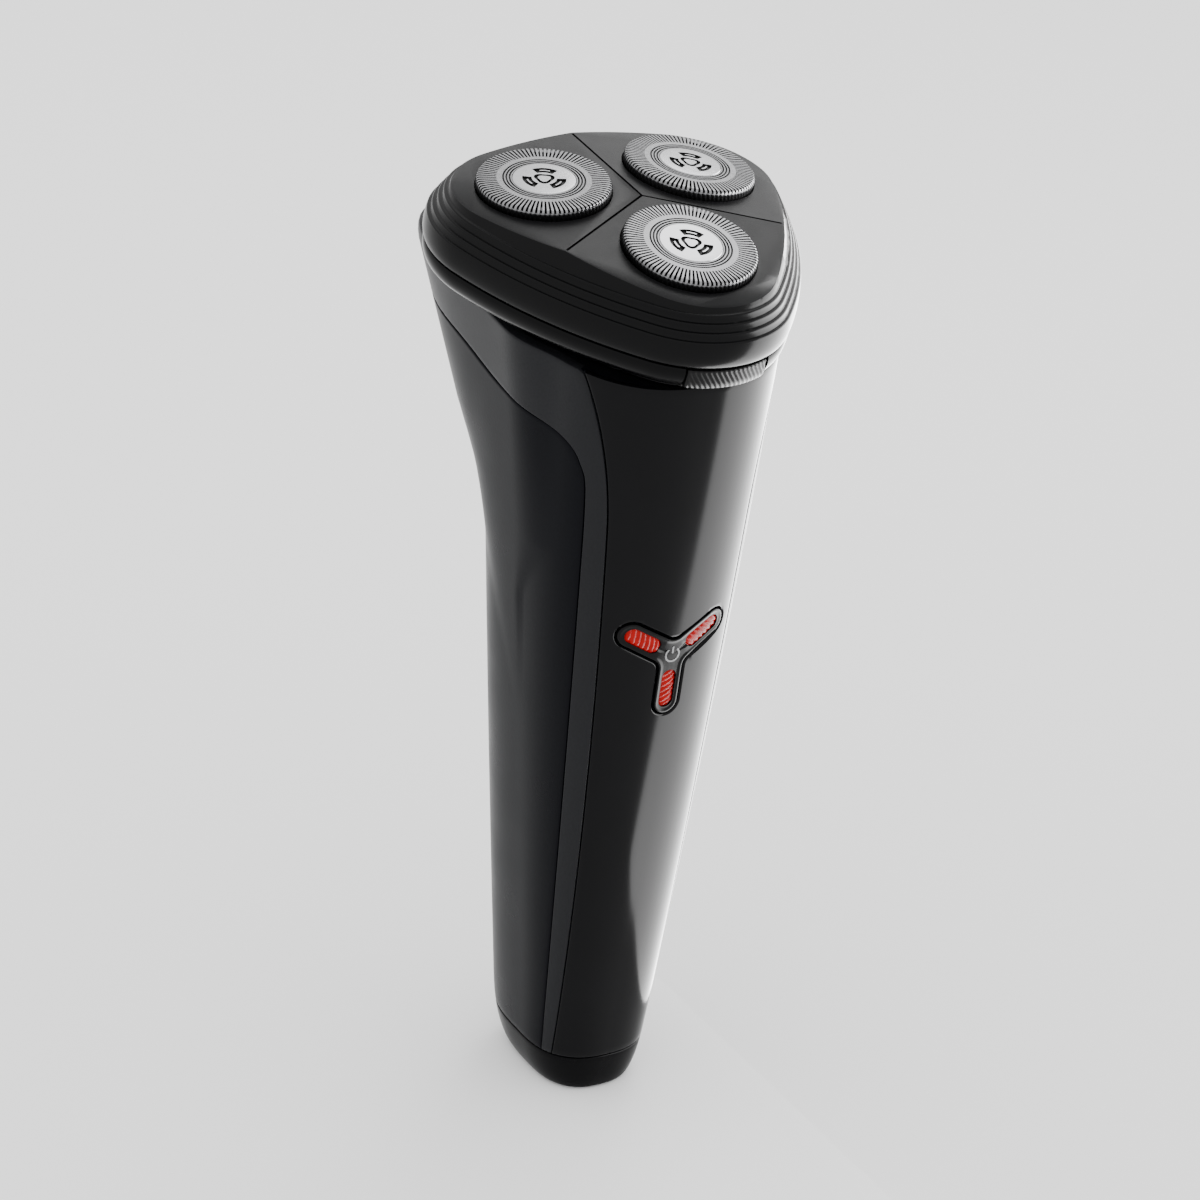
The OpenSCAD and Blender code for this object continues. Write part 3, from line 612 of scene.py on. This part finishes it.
# base cap
levels = [12 * (1 - math.cos(PI / 2 * k / 30)) for k in range(0, 31)]
levels = [z for z in levels if z < CAP_LINE - 0.45]
levels += [CAP_LINE - 0.4, CAP_LINE - 0.22, CAP_LINE - 0.11, CAP_LINE - 0.04]
insets = [0.0] * (len(levels) - 3) + [0.03, 0.12, 0.28]
ring_phi = np.linspace(0, 2 * PI, 220, endpoint=False)
ring_fold = np.where(np.cos(ring_phi) >= 0, ring_phi, PI - ring_phi)
ring_fold = (ring_fold + PI) % (2 * PI) - PI


def section(z, inset=0.0):
    r = skin_radius(ring_fold, np.full_like(ring_fold, z), inset)
    return list(zip(r * np.cos(ring_phi), r * np.sin(ring_phi)))


base = ring_loft("base", [section(z, i) for z, i in zip(levels, insets)], levels)
cut(base, ring_loft("t", [section(z, 2.0) for z in (2.0, 4.0, 6.0, 9.0)], [2.0, 4.0, 6.0, 9.0]))
slot_outline = []    # rounded opening for the charging socket
INLET_Y, INLET_SPREAD, INLET_R, INLET_STEPS = 6.6, 1.75, 2.95, 64
for i in range(INLET_STEPS):
    a = 2 * PI * i / INLET_STEPS
    side = 1 if math.cos(a) > 0 else -1
    slot_outline.append((INLET_SPREAD * side + INLET_R * math.cos(a), INLET_Y + INLET_R * math.sin(a)))
cut(base, ring_loft("t", [slot_outline, slot_outline], [-1, 12]))
bevel(base, 0.12)
tidy_mesh(base)

finish_piece(front_cover, "handle", "front_shell", "front_housing", "front")
finish_piece(rear_cover, "handle", "rear_shell", "rear_housing", "rear")
finish_piece(base, "handle", "base", "base_cap", "base")

# ---------------------------------------------------------------- power button

ARM = 2.15
REACH = 10.9


def star(offset, arm=ARM, reach=REACH, fillet=2.2, tip_steps=20, corner_steps=10):
    """Three rounded arms with filleted corners, grown by offset, as points in (x, z)."""
    h = arm + offset
    f = max(0.2, fillet - offset)
    d = (h + f) / math.sin(PI / 3)
    out = []
    for k in range(3):
        t = math.radians(-90 + 120 * k)
        ct, st = math.cos(t), math.sin(t)
        for i in range(tip_steps + 1):
            a = t - PI / 2 + PI * i / tip_steps
            out.append(((reach - arm) * ct + h * math.cos(a), (reach - arm) * st + h * math.sin(a)))
        b = t + PI / 3
        cx, cz = d * math.cos(b), d * math.sin(b)
        for i in range(corner_steps + 1):
            a = b + PI + PI / 6 - PI / 3 * i / corner_steps
            out.append((cx + f * math.cos(a), cz + f * math.sin(a)))
    return out


def face_y(x, z):
    return -front_depth(z) * (1 - (abs(x) / half_width(z)) ** 2.5) ** 0.4


def star_solid(name, rings):
    """Solid through star outlines. rings are (offset, depth below the panel), outside first."""
    verts, faces = [], []
    n = len(star(0))
    for offset, depth in rings:
        for x, z in star(offset):
            verts.append((x, face_y(x, BUTTON_Z + z) + depth, BUTTON_Z + z))
    for i in range(len(rings) - 1):
        for j in range(n):
            k = (j + 1) % n
            faces.append((i * n + j, (i + 1) * n + j, (i + 1) * n + k, i * n + k))
    first = len(verts)
    verts.append((0, face_y(0, BUTTON_Z) + rings[0][1], BUTTON_Z))
    verts.append((0, face_y(0, BUTTON_Z) + rings[-1][1], BUTTON_Z))
    last = (len(rings) - 1) * n
    for j in range(n):
        k = (j + 1) % n
        faces.append((first, j, k))
        faces.append((first + 1, last + k, last + j))
    ob = add_mesh(name, verts, faces)
    return tidy_mesh(ob, 30)


cut(panel, star_solid("t", [
    (0.62, -1.5), (0.62, -0.02), (0.5, 0.06), (0.2, 0.42), (0.13, 0.6), (0.13, 4.0)]))
tidy_mesh(panel, 34)
finish_piece(panel, "handle", "panel", "front_panel", "panel")

button = star_solid("button", [
    (-1.6, 0.14), (-0.9, 0.14), (-0.62, 0.12), (-0.42, 0.02), (-0.25, 0.0), (-0.1, 0.06), (-0.02, 0.2),
    (0.0, 0.4), (0.0, 4.4)])


def stadium(x0, x1, half, steps=18):
    out = []
    for cx, a0 in ((x1 - half, -PI / 2), (x0 + half, PI / 2)):
        for i in range(steps + 1):
            a = a0 + PI * i / steps
            out.append((cx + half * math.cos(a), half * math.sin(a)))
    return out


def arm_point(k, along_arm, across, depth):
    t = math.radians(-90 + 120 * k)
    x = along_arm * math.cos(t) - across * math.sin(t)
    z = along_arm * math.sin(t) + across * math.cos(t)
    return (x, face_y(x, BUTTON_Z + z) + depth, BUTTON_Z + z)


WINDOW_FROM, WINDOW_TO, WINDOW_HALF = 2.9, 9.75, 1.28    # along the arm, and half the width


def window_tool(k, grow):
    outline = stadium(WINDOW_FROM - grow, WINDOW_TO + grow, WINDOW_HALF + grow)
    n = len(outline)
    verts, faces = [], []
    for depth in (-1.5, 1.5):
        verts += [arm_point(k, a, b, depth) for a, b in outline]
    faces = [tuple(range(n)), tuple(range(2 * n - 1, n - 1, -1))]
    faces += [(j, (j + 1) % n, n + (j + 1) % n, n + j) for j in range(n)]
    return tidy_mesh(add_mesh("t", verts, faces))


for k in range(3):
    cut(button, window_tool(k, 0.05))
tidy_mesh(button, 30)

window_verts, window_faces = [], []
RIBS = 7
for k in range(3):
    x0, x1, half = WINDOW_FROM, WINDOW_TO, WINDOW_HALF
    xs = np.linspace(x0, x1, 92)
    ts = np.linspace(-1, 1, 15)
    base_index = len(window_verts)
    for x in xs:
        d0, d1 = x - x0, x1 - x
        w = half
        if d0 < half:
            w = math.sqrt(max(1e-6, half * half - (half - d0) ** 2))
        if d1 < half:
            w = math.sqrt(max(1e-6, half * half - (half - d1) ** 2))
        for t in ts:
            across = w * t
            phase = (x - x0 + 0.45 * across) / (x1 - x0) * RIBS
            rib = abs(math.sin(PI * phase)) ** 0.7
            dome = 0.26 * (across / half) ** 2 + 0.16 * max(0, 1 - min(d0, d1) / 0.8)
            window_verts.append(arm_point(k, x, across, 0.42 + dome - 0.22 * rib))
    row = len(ts)
    for i in range(len(xs) - 1):
        for j in range(row - 1):
            a = base_index + i * row + j
            window_faces.append((a, a + row, a + row + 1, a + 1))
    # back of the window
    back = len(window_verts)
    outline = stadium(x0, x1, half)
    window_verts += [arm_point(k, a, b, 0.75) for a, b in outline]
    window_verts += [arm_point(k, a, b, 1.4) for a, b in outline]
    turns = len(outline)
    window_faces.append(tuple(back + j for j in range(turns)))
    window_faces.append(tuple(back + turns + j for j in range(turns - 1, -1, -1)))
    window_faces += [(back + j, back + (j + 1) % turns, back + turns + (j + 1) % turns,
                      back + turns + j) for j in range(turns)]
windows = tidy_mesh(add_mesh("windows", window_verts, window_faces), 60)

# on-off symbol in the middle of the button: an open ring and a bar
sym_verts, sym_faces = [], []


def ribbon(points, width, lift):
    first = len(sym_verts)
    for i, (x, z) in enumerate(points):
        a = points[max(0, i - 1)]
        b = points[min(len(points) - 1, i + 1)]
        dx, dz = b[0] - a[0], b[1] - a[1]
        length = math.hypot(dx, dz)
        nx, nz = -dz / length * width / 2, dx / length * width / 2
        for sign, d in ((1, 0.3), (1, lift), (-1, lift), (-1, 0.3)):
            px, pz = x + sign * nx, z + sign * nz
            sym_verts.append((px, face_y(px, BUTTON_Z + pz) + d, BUTTON_Z + pz))
    for i in range(len(points) - 1):
        for j in range(4):
            a = first + 4 * i + j
            b = first + 4 * i + (j + 1) % 4
            sym_faces.append((a, b, b + 4, a + 4))
    last = first + 4 * (len(points) - 1)
    sym_faces.append((first, first + 1, first + 2, first + 3))
    sym_faces.append((last + 3, last + 2, last + 1, last))


SYMBOL_R, SYMBOL_LINE, SYMBOL_LIFT = 1.22, 0.3, 0.07
ring = [(SYMBOL_R * math.sin(a), SYMBOL_R * math.cos(a))
        for a in np.linspace(math.radians(38), math.radians(322), 40)]
ribbon(ring, SYMBOL_LINE, SYMBOL_LIFT)
ribbon([(0, z) for z in np.linspace(0.25, 1.5, 6)], SYMBOL_LINE, SYMBOL_LIFT)
symbol = tidy_mesh(add_mesh("on_off_symbol", sym_verts, sym_faces))

finish_piece(button, "power", "button", "power_button", "button")
finish_piece(windows, "power", "window", "light_windows", "window")
finish_piece(symbol, "power", "button", None, "icon")

# ---------------------------------------------------------------- shaving unit


def roof(name, apex):
    """Everything below the three sloping faces that meet at height apex."""
    span = 100.0
    drop = math.tan(SLOPE) * span / 2
    verts = [(0, 0, apex)]
    for level in (apex - drop, -40.0):
        for k in range(3):
            a = math.radians(-90 + 60 + 120 * k)
            verts.append((span * math.cos(a), span * math.sin(a), level))
    faces = [(0, 1, 2), (0, 2, 3), (0, 3, 1), (6, 5, 4)]
    faces += [(1, 4, 5, 2), (2, 5, 6, 3), (3, 6, 4, 1)]
    return add_mesh(name, verts, faces, HEAD)


def ridge_profile():
    """Cover's outside: four stepped ridges, then a smooth band."""
    pts = [(0.3, 12.9), (-1.1, 13.4), (-2.0, 13.8), (-3.6, 14.5)]
    steps = [(-3.75, 14.55, 15.2), (-4.95, 15.3, 15.95), (-6.15, 16.05, 16.7), (-7.35, 16.8, 17.4)]
    for w, r0, r1 in steps:
        pts += [(w, r0), (w - 0.06, r0 + 0.05)]
        for a in np.linspace(0, PI / 2, 5):
            pts.append((w - 0.1 - 0.24 * (1 - math.cos(a)), r1 - 0.24 + 0.24 * math.sin(a)))
    pts += [(-8.3, 17.52), (-9.0, 17.6), (-9.8, 17.66), (-10.6, 17.62), (-11.2, 17.5), (-11.6, 17.35),
            (-11.82, 17.24), (-11.93, 17.1), (-12.0, 16.9)]
    return pts


cover = rim_solid("cover", ridge_profile())
cut(cover, roof("t", -0.2), "INTERSECT")
inner = rim_solid("t", [
    (-1.0, 11.8), (-3.4, 12.9), (-5.8, 14.3), (-8.2, 15.4), (-11.0, 14.9), (-12.1, 14.3),
    (-12.6, 14.3)])
cut(inner, roof("t2", -1.6), "INTERSECT")
cut(cover, inner)
for t in CORNERS:
    place = cutter_frame(t)
    cut(cover, cylinder("t", 10.85, -8, 6, place))
for t in CORNERS:
    place = HEAD @ rot("Z", t + 60) @ Matrix.Translation((0, 0, -0.2)) @ rot("X", 2.7)
    cut(cover, box("t", (-0.2, -22.4, -0.6), (0.2, 0.2, 3), place))
bevel(cover, 0.11, 2, 38)
post = cylinder("post", 2.6, -4.85, -1.4, HEAD, 48)
post_stem = cylinder("post2", 1.6, -8.3, -4.85, HEAD, 48)
post_foot = cylinder("post3", 2.3, -8.6, -7.9, HEAD, 48)
HINGE_Y, HINGE_Z, KNUCKLE_R = 26.3, -14.3, 1.88    # in the head's frame
lug_points = []
for x in (-5.6, 5.6):
    for i in range(32):
        a = 2 * PI * i / 32
        lug_points.append((x, HINGE_Y + KNUCKLE_R * math.cos(a), HINGE_Z + KNUCKLE_R * math.sin(a)))
    for y in (23.8, 25.7):
        for z in (-10.6, -9.8):
            lug_points.append((x, y, z))
lug = hull("lug", lug_points, HEAD)
bevel(lug, 0.25, 2, 40)
catch = box("catch", (-3.2, -31.5, -11.9), (3.2, -29.65, -11.1), HEAD)
join(cover, post, post_stem, post_foot, lug, catch)
tidy_mesh(cover, 34, 0.0002)
finish_piece(cover, "shaving_unit", "head_cover", "head_cover", "cover", "plate")
for p in cover.data.polygons:
    c = TO_HEAD @ (p.center / MM)
    normal = TO_HEAD.to_3x3() @ p.normal
    if normal.z > 0.97 and c.z > -3.4:
        p.material_index = 1

# chamber under the cover
chamber = rim_solid("chamber", [
    (-12.15, 16.95), (-12.2, 17.1), (-12.35, 17.22), (-12.9, 17.3), (-13.4, 17.27),
    (-13.8, 17.2), (-14.2, 17.07), (-14.6, 16.9), (-15.0, 16.67), (-15.3, 16.4), (-15.6, 16.12),
    (-15.9, 15.8), (-16.15, 15.4), (-16.4, 14.9), (-16.7, 14.2), (-16.95, 13.4)])
cut(chamber, rim_solid("t", [(-13.3, 11.3), (-18.5, 11.3)]))
cut(chamber, rim_solid("t", [(-12.4, 14.0), (-10, 14.0)]))
for t in CORNERS:
    place = HEAD @ rot("Z", t) @ Matrix.Translation((0, -14.625, 0))
    cut(chamber, cylinder("t", 3.4, -14, -10, place, 64))
cut(chamber, box("t", (-7.4, -40, -16.15), (7.4, -27.4, -6.15), HEAD))
for s in (-1, 1):
    pts = []
    for x in (s * 8.1 - 1.9, s * 8.1 + 1.9):
        for i in range(28):
            a = 2 * PI * i / 28
            pts.append((x, HINGE_Y + KNUCKLE_R * math.cos(a), HINGE_Z + KNUCKLE_R * math.sin(a)))
        for y in (22.2, 23.2):
            for z in (-15.7, -12.5):
                pts.append((x, y, z))
    cut(chamber, hull("t", pts, HEAD), "UNION")
cut(chamber, box("t", (-5.95, 23.9, -18), (5.95, 31.9, -10), HEAD))
hinge_axis = HEAD @ Matrix.Translation((0, HINGE_Y, HINGE_Z)) @ rot("Y", 90)
cut(chamber, cylinder("t", 1.0, -12, 12, hinge_axis, 40))
bevel(chamber, 0.1, 2, 38)
tidy_mesh(chamber, 34, 0.0002)
finish_piece(chamber, "handle", "chamber", "chamber_base", "chamber")

# ---------------------------------------------------------------- shaving caps

SLOTS = 90
# outside of a cap as (radius, height), from the hole in the middle outwards
OUTSIDE = [(5.02, -0.05), (5.06, 0.0), (5.25, 0.0), (5.28, -0.24), (5.52, -0.24), (5.55, 0.0), (5.75, 0.0),
           (5.78, -0.24), (6.02, -0.24), (6.05, 0.0), (6.25, 0.0), (6.28, -0.24), (6.52, -0.24), (6.55, 0.0),
           (7.0, 0.005), (7.45, 0.01), (8.2, 0.015), (9.0, 0.01), (9.7, 0.0), (10.15, -0.02), (10.38, -0.09),
           (10.52, -0.22), (10.58, -0.42), (10.6, -0.62), (10.6, -0.74), (10.6, -0.9), (10.6, -1.1),
           (10.6, -1.3), (10.6, -1.46), (10.6, -3.08), (11.4, -3.08), (11.4, -3.65)]
SLOT_FROM, SLOT_TO = 15, 22      # points of OUTSIDE that the slots run between
KNURL_FROM, KNURL_TO = 24, 27    # and those on the knurled side


def inside_of(r, z):
    if r < 9.9 and z > -0.5:
        return (r, -0.55)
    if z > -0.3:
        return (9.95 + 0.15 * (r - 9.9) / 0.7, -0.56)
    return (10.1, min(-0.6, z))


def polar_map(me):
    """UV map around the piece's axis, for the turned steel."""
    uv = me.uv_layers.new(name="UVMap")
    for loop in me.loops:
        v = me.vertices[loop.vertex_index].co / MM
        uv.data[loop.index].uv = (math.atan2(v.y, v.x) / (2 * PI), math.hypot(v.x, v.y) / 10)


def move_to_cutter(me, turn):
    me.transform(Matrix.Scale(MM, 4) @ cutter_frame(turn) @ Matrix.Scale(1 / MM, 4))


def shaving_cap(name, turn):
    per = 4
    n = SLOTS * per
    verts = []
    k_count = len(OUTSIDE)
    for kind in (0, 1):
        for k, (r, z) in enumerate(OUTSIDE):
            rr, zz = (r, z) if kind == 0 else inside_of(r, z)
            for j in range(n):
                phase = j % per
                frac = (0.0, 0.26, 0.5, 0.76)[phase] if SLOT_FROM <= k <= SLOT_TO else phase / per
                a = 2 * PI * (j // per + frac) / SLOTS
                knurl = 0.0
                if kind == 0 and KNURL_FROM <= k <= KNURL_TO:
                    knurl = 0.09 if phase in (0, 1) else -0.03
                verts.append(((rr + knurl) * math.cos(a), (rr + knurl) * math.sin(a), zz))
    layer = k_count * n
    faces = []

    def is_open(k, j):
        return SLOT_FROM <= k < SLOT_TO and j % per >= 2

    for k in range(k_count - 1):
        for j in range(n):
            m = (j + 1) % n
            if is_open(k, j):
                continue
            a, b, c, d = k * n + j, (k + 1) * n + j, (k + 1) * n + m, k * n + m
            faces.append((a, b, c, d))
            faces.append((d + layer, c + layer, b + layer, a + layer))
            sides = ((k, j - 1, a, b), (k, j + 1, c, d), (k - 1, j, d, a), (k + 1, j, b, c))
            for next_k, next_j, e0, e1 in sides:
                if is_open(next_k, next_j % n):
                    faces.append((e0, e0 + layer, e1 + layer, e1))
    for j in range(n):
        m = (j + 1) % n
        faces.append((j, m, m + layer, j + layer))
        q = (k_count - 1) * n
        faces.append((q + m, q + j, q + j + layer, q + m + layer))
    ob = add_mesh(name, verts, faces)
    me = ob.data
    polar_map(me)
    bm = bmesh.new()
    bm.from_mesh(me)
    bmesh.ops.recalc_face_normals(bm, faces=bm.faces)
    bm.to_mesh(me)
    bm.free()
    for p in me.polygons:
        p.use_smooth = True
    me.set_sharp_from_angle(angle=math.radians(32))
    dress(ob, "steel", "side", "emblem_and_shade")
    for p in me.polygons:
        c = p.center / MM
        r = math.hypot(c.x, c.y)
        if c.z < -0.55:
            p.material_index = 1
        # painted shade: the slot walls, the grooves round the middle and the underside are coloured black
        # where shade falls
        if (r < 6.6 and -0.3 < c.z < -0.02) or c.z < -0.5 and r < 9.9:
            p.material_index = 2
        if 6.95 < r < 10.35 and -0.5 < c.z < -0.1:
            p.material_index = 2
    move_to_cutter(me, turn)
    return ob


def ring_sector(r0, r1, a0, a1, steps=14):
    out = [(r1 * math.cos(a), r1 * math.sin(a)) for a in np.linspace(a0, a1, steps)]
    out += [(r0 * math.cos(a), r0 * math.sin(a)) for a in np.linspace(a1, a0, steps)]
    return out


def centre_disc(name, turn):
    steps = 96
    rings = [[(r * math.cos(2 * PI * i / steps), r * math.sin(2 * PI * i / steps)) for i in range(steps)]
             for r in (4.5, 4.96, 4.98, 4.98, 4.9, 4.6)]
    ob = ring_loft(name, rings, [-0.75, -0.7, -0.6, -0.02, 0.07, 0.1])
    outer = []
    for a in np.linspace(0, 2 * PI, 72, endpoint=False):
        r = 1.55 + 0.22 * math.cos(3 * a)
        outer.append((r * math.cos(a), r * math.sin(a)))
    inner = [(x * 0.62, y * 0.62) for x, y in outer]
    trench = ring_loft("t", [outer, outer], [-0.25, 0.5])
    cut(trench, ring_loft("t2", [inner, inner], [-1, 1]))
    cut(ob, trench)
    for k in range(3):
        mid = math.radians(60 + 120 * k)
        petal = ring_sector(1.95, 3.45, mid - 0.62, mid + 0.62)
        island = ring_sector(2.55, 2.8, mid - 0.3, mid + 0.3)
        shape = ring_loft("t", [petal, petal], [-0.25, 0.5])
        cut(shape, ring_loft("t2", [island, island], [-1, 1]))
        cut(ob, shape)
    tidy_mesh(ob, 30, 0.0002)
    me = ob.data
    while me.uv_layers:
        me.uv_layers.remove(me.uv_layers[0])
    polar_map(me)
    dress(ob, "disc", "emblem_and_shade")
    for p in me.polygons:
        c = p.center / MM
        if c.z < 0.05 and math.hypot(c.x, c.y) < 4.2 and c.z > -0.5:
            p.material_index = 1
    move_to_cutter(me, turn)
    return ob


for side, turn in SIDES.items():
    cap = shaving_cap("shaving_cap_" + side, turn)
    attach(cap, "head_" + side)
    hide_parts("guard_" + side)
    disc = centre_disc("centre_disc_" + side, turn)
    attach(disc, "head_" + side)
    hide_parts("cap_disc_" + side)

# ---------------------------------------------------------------- release button


def release_point(s, u, depth):
    half = math.asin(7.15 / 17.2)
    theta = -half + 2 * half * s
    w = -15.9 + 3.5 * u
    belly = 17.18 - 0.55 * np.maximum(0, (-14.4 - w) / 1.5) ** 2
    rib = 0.16 * (0.5 + 0.5 * np.cos(2 * PI * (theta * 17.2 / 0.85 + (w + 14) / 1.3)))
    edge = np.minimum(1, np.minimum(np.minimum(s, 1 - s) * 14, np.minimum(u, 1 - u) * 8))
    r = belly - rib * edge - depth
    return np.stack([r * np.sin(theta), -CUTTER_CIRCLE - r * np.cos(theta), w + 0 * theta], -1)


s_list, s_edge = graded(14.6, 150, offset=0.02)
u_list, u_edge = graded(3.5, 26, offset=0.02)


def release_in_head(s, u, depth):
    p = release_point(s, u, depth)
    flat = p.reshape(-1, 3)
    out = np.array([HEAD @ Vector(q) for q in flat])
    return out.reshape(p.shape)


knob = patch("knob", release_in_head, s_list, u_list, s_edge, u_edge, 2.6, mirror=False)
hook = box("hook", (-3, -29.1, -12.6), (3, -28.5, -10.2), HEAD)
nose = box("nose", (-3, -29.45, -10.95), (3, -28.5, -10.2), HEAD)
back_plate = box("back_plate", (-7.0, -29.9, -15.9), (7.0, -28.5, -12.4), HEAD)
join(knob, hook, nose, back_plate)
tidy_mesh(knob, 50, 0.0002)
finish_piece(knob, "release", "release", "release_button", "knob")

# ---------------------------------------------------------------- CAD nodes that stay

KEPT = {
    "retaining_frame": "dark", "lock_wheel": "dark", "gear_carrier": "dark", "hinge_pin": "bright",
    "cutter_front": "blade", "cutter_right": "blade", "cutter_left": "blade",
    "drive_gear_front": "acetal", "drive_gear_right": "acetal", "drive_gear_left": "acetal",
    "drive_spindle_front": "white", "drive_spindle_right": "white", "drive_spindle_left": "white",
    "spindle_spring_front": "bright", "spindle_spring_right": "bright", "spindle_spring_left": "bright",
    "motor": "bright", "motor_pinion": "brass", "carrier_screws": "bright", "release_spring": "bright",
    "chassis": "grey", "switch_plunger": "white", "circuit_board": "board", "tact_switch": "dark",
    "status_leds": "white", "battery": "cell", "battery_tabs": "bright", "charge_socket": "dark",
    "socket_pins": "bright",
}
for node, name in KEPT.items():
    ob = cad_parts[node]
    if not ob.material_slots:
        ob.data.materials.append(LOOKS[name])
    for slot in ob.material_slots:
        slot.material = LOOKS[name]

# ---------------------------------------------------------------- floor, light, camera


def floor_material():
    m = bpy.data.materials.new("floor_pale")
    m.use_nodes = True
    bsdf = m.node_tree.nodes["Principled BSDF"]
    bsdf.inputs["Base Color"].default_value = (0.9, 0.9, 0.9, 1)
    bsdf.inputs["Roughness"].default_value = 0.9
    bsdf.inputs["Specular IOR Level"].default_value = 0.1
    return m


FLOOR_HALF = 4.0        # metres, from here on
FLOOR_DROP = 0.0003
floor_mesh = bpy.data.meshes.new("floor")
floor_mesh.from_pydata([(-FLOOR_HALF, -FLOOR_HALF, 0), (FLOOR_HALF, -FLOOR_HALF, 0),
                        (FLOOR_HALF, FLOOR_HALF, 0), (-FLOOR_HALF, FLOOR_HALF, 0)],
                       [], [(0, 1, 2, 3)])
floor = bpy.data.objects.new("floor", floor_mesh)
bpy.context.scene.collection.objects.link(floor)
floor.location.z = -FLOOR_DROP
floor.data.materials.append(floor_material())

world = bpy.data.worlds.new("studio")
world.use_nodes = True
world.node_tree.nodes["Background"].inputs["Color"].default_value = (1, 1, 1, 1)
world.node_tree.nodes["Background"].inputs["Strength"].default_value = 1.95
bpy.context.scene.world = world


def soft_light(name, where, target, width, height, power):
    data = bpy.data.lights.new(name, "AREA")
    data.shape = "RECTANGLE"
    data.size = width
    data.size_y = height
    data.energy = power
    ob = bpy.data.objects.new(name, data)
    bpy.context.scene.collection.objects.link(ob)
    ob.location = where
    ob.rotation_euler = (Vector(target) - Vector(where)).to_track_quat("-Z", "Y").to_euler()
    ob.visible_camera = False
    return ob


# seen only in reflections: the bright edge down the panel's right side
strip = soft_light("right_strip", where=(0.045, -0.022, 0.085), target=(-0.053, -0.022, 0.105),
                   width=0.095, height=0.19, power=0.75)
strip.visible_diffuse = False
soft_light("top_box", where=(0.30, 0.30, 0.62), target=(0, 0, 0.15),
           width=0.22, height=0.4, power=1.0)

camera_data = bpy.data.cameras.new("camera")
camera_data.sensor_width = 36
camera_data.sensor_fit = "HORIZONTAL"
camera_data.lens = 105
camera_data.clip_start = 0.01
camera_data.clip_end = 20
camera = bpy.data.objects.new("camera", camera_data)
bpy.context.scene.collection.objects.link(camera)
# camera axes and place, from the perspective fit
right = Vector((0.8621516, -0.5010020, 0.0754426))
up = Vector((0.1572761, 0.4061968, 0.9001491))
back = Vector((-0.4816210, -0.7641997, 0.4289988))
pose = Matrix((right, up, back)).transposed().to_4x4()
pose.translation = Vector((-0.2777505, -0.4373839, 0.3342183))
camera.matrix_world = pose
bpy.context.scene.camera = camera
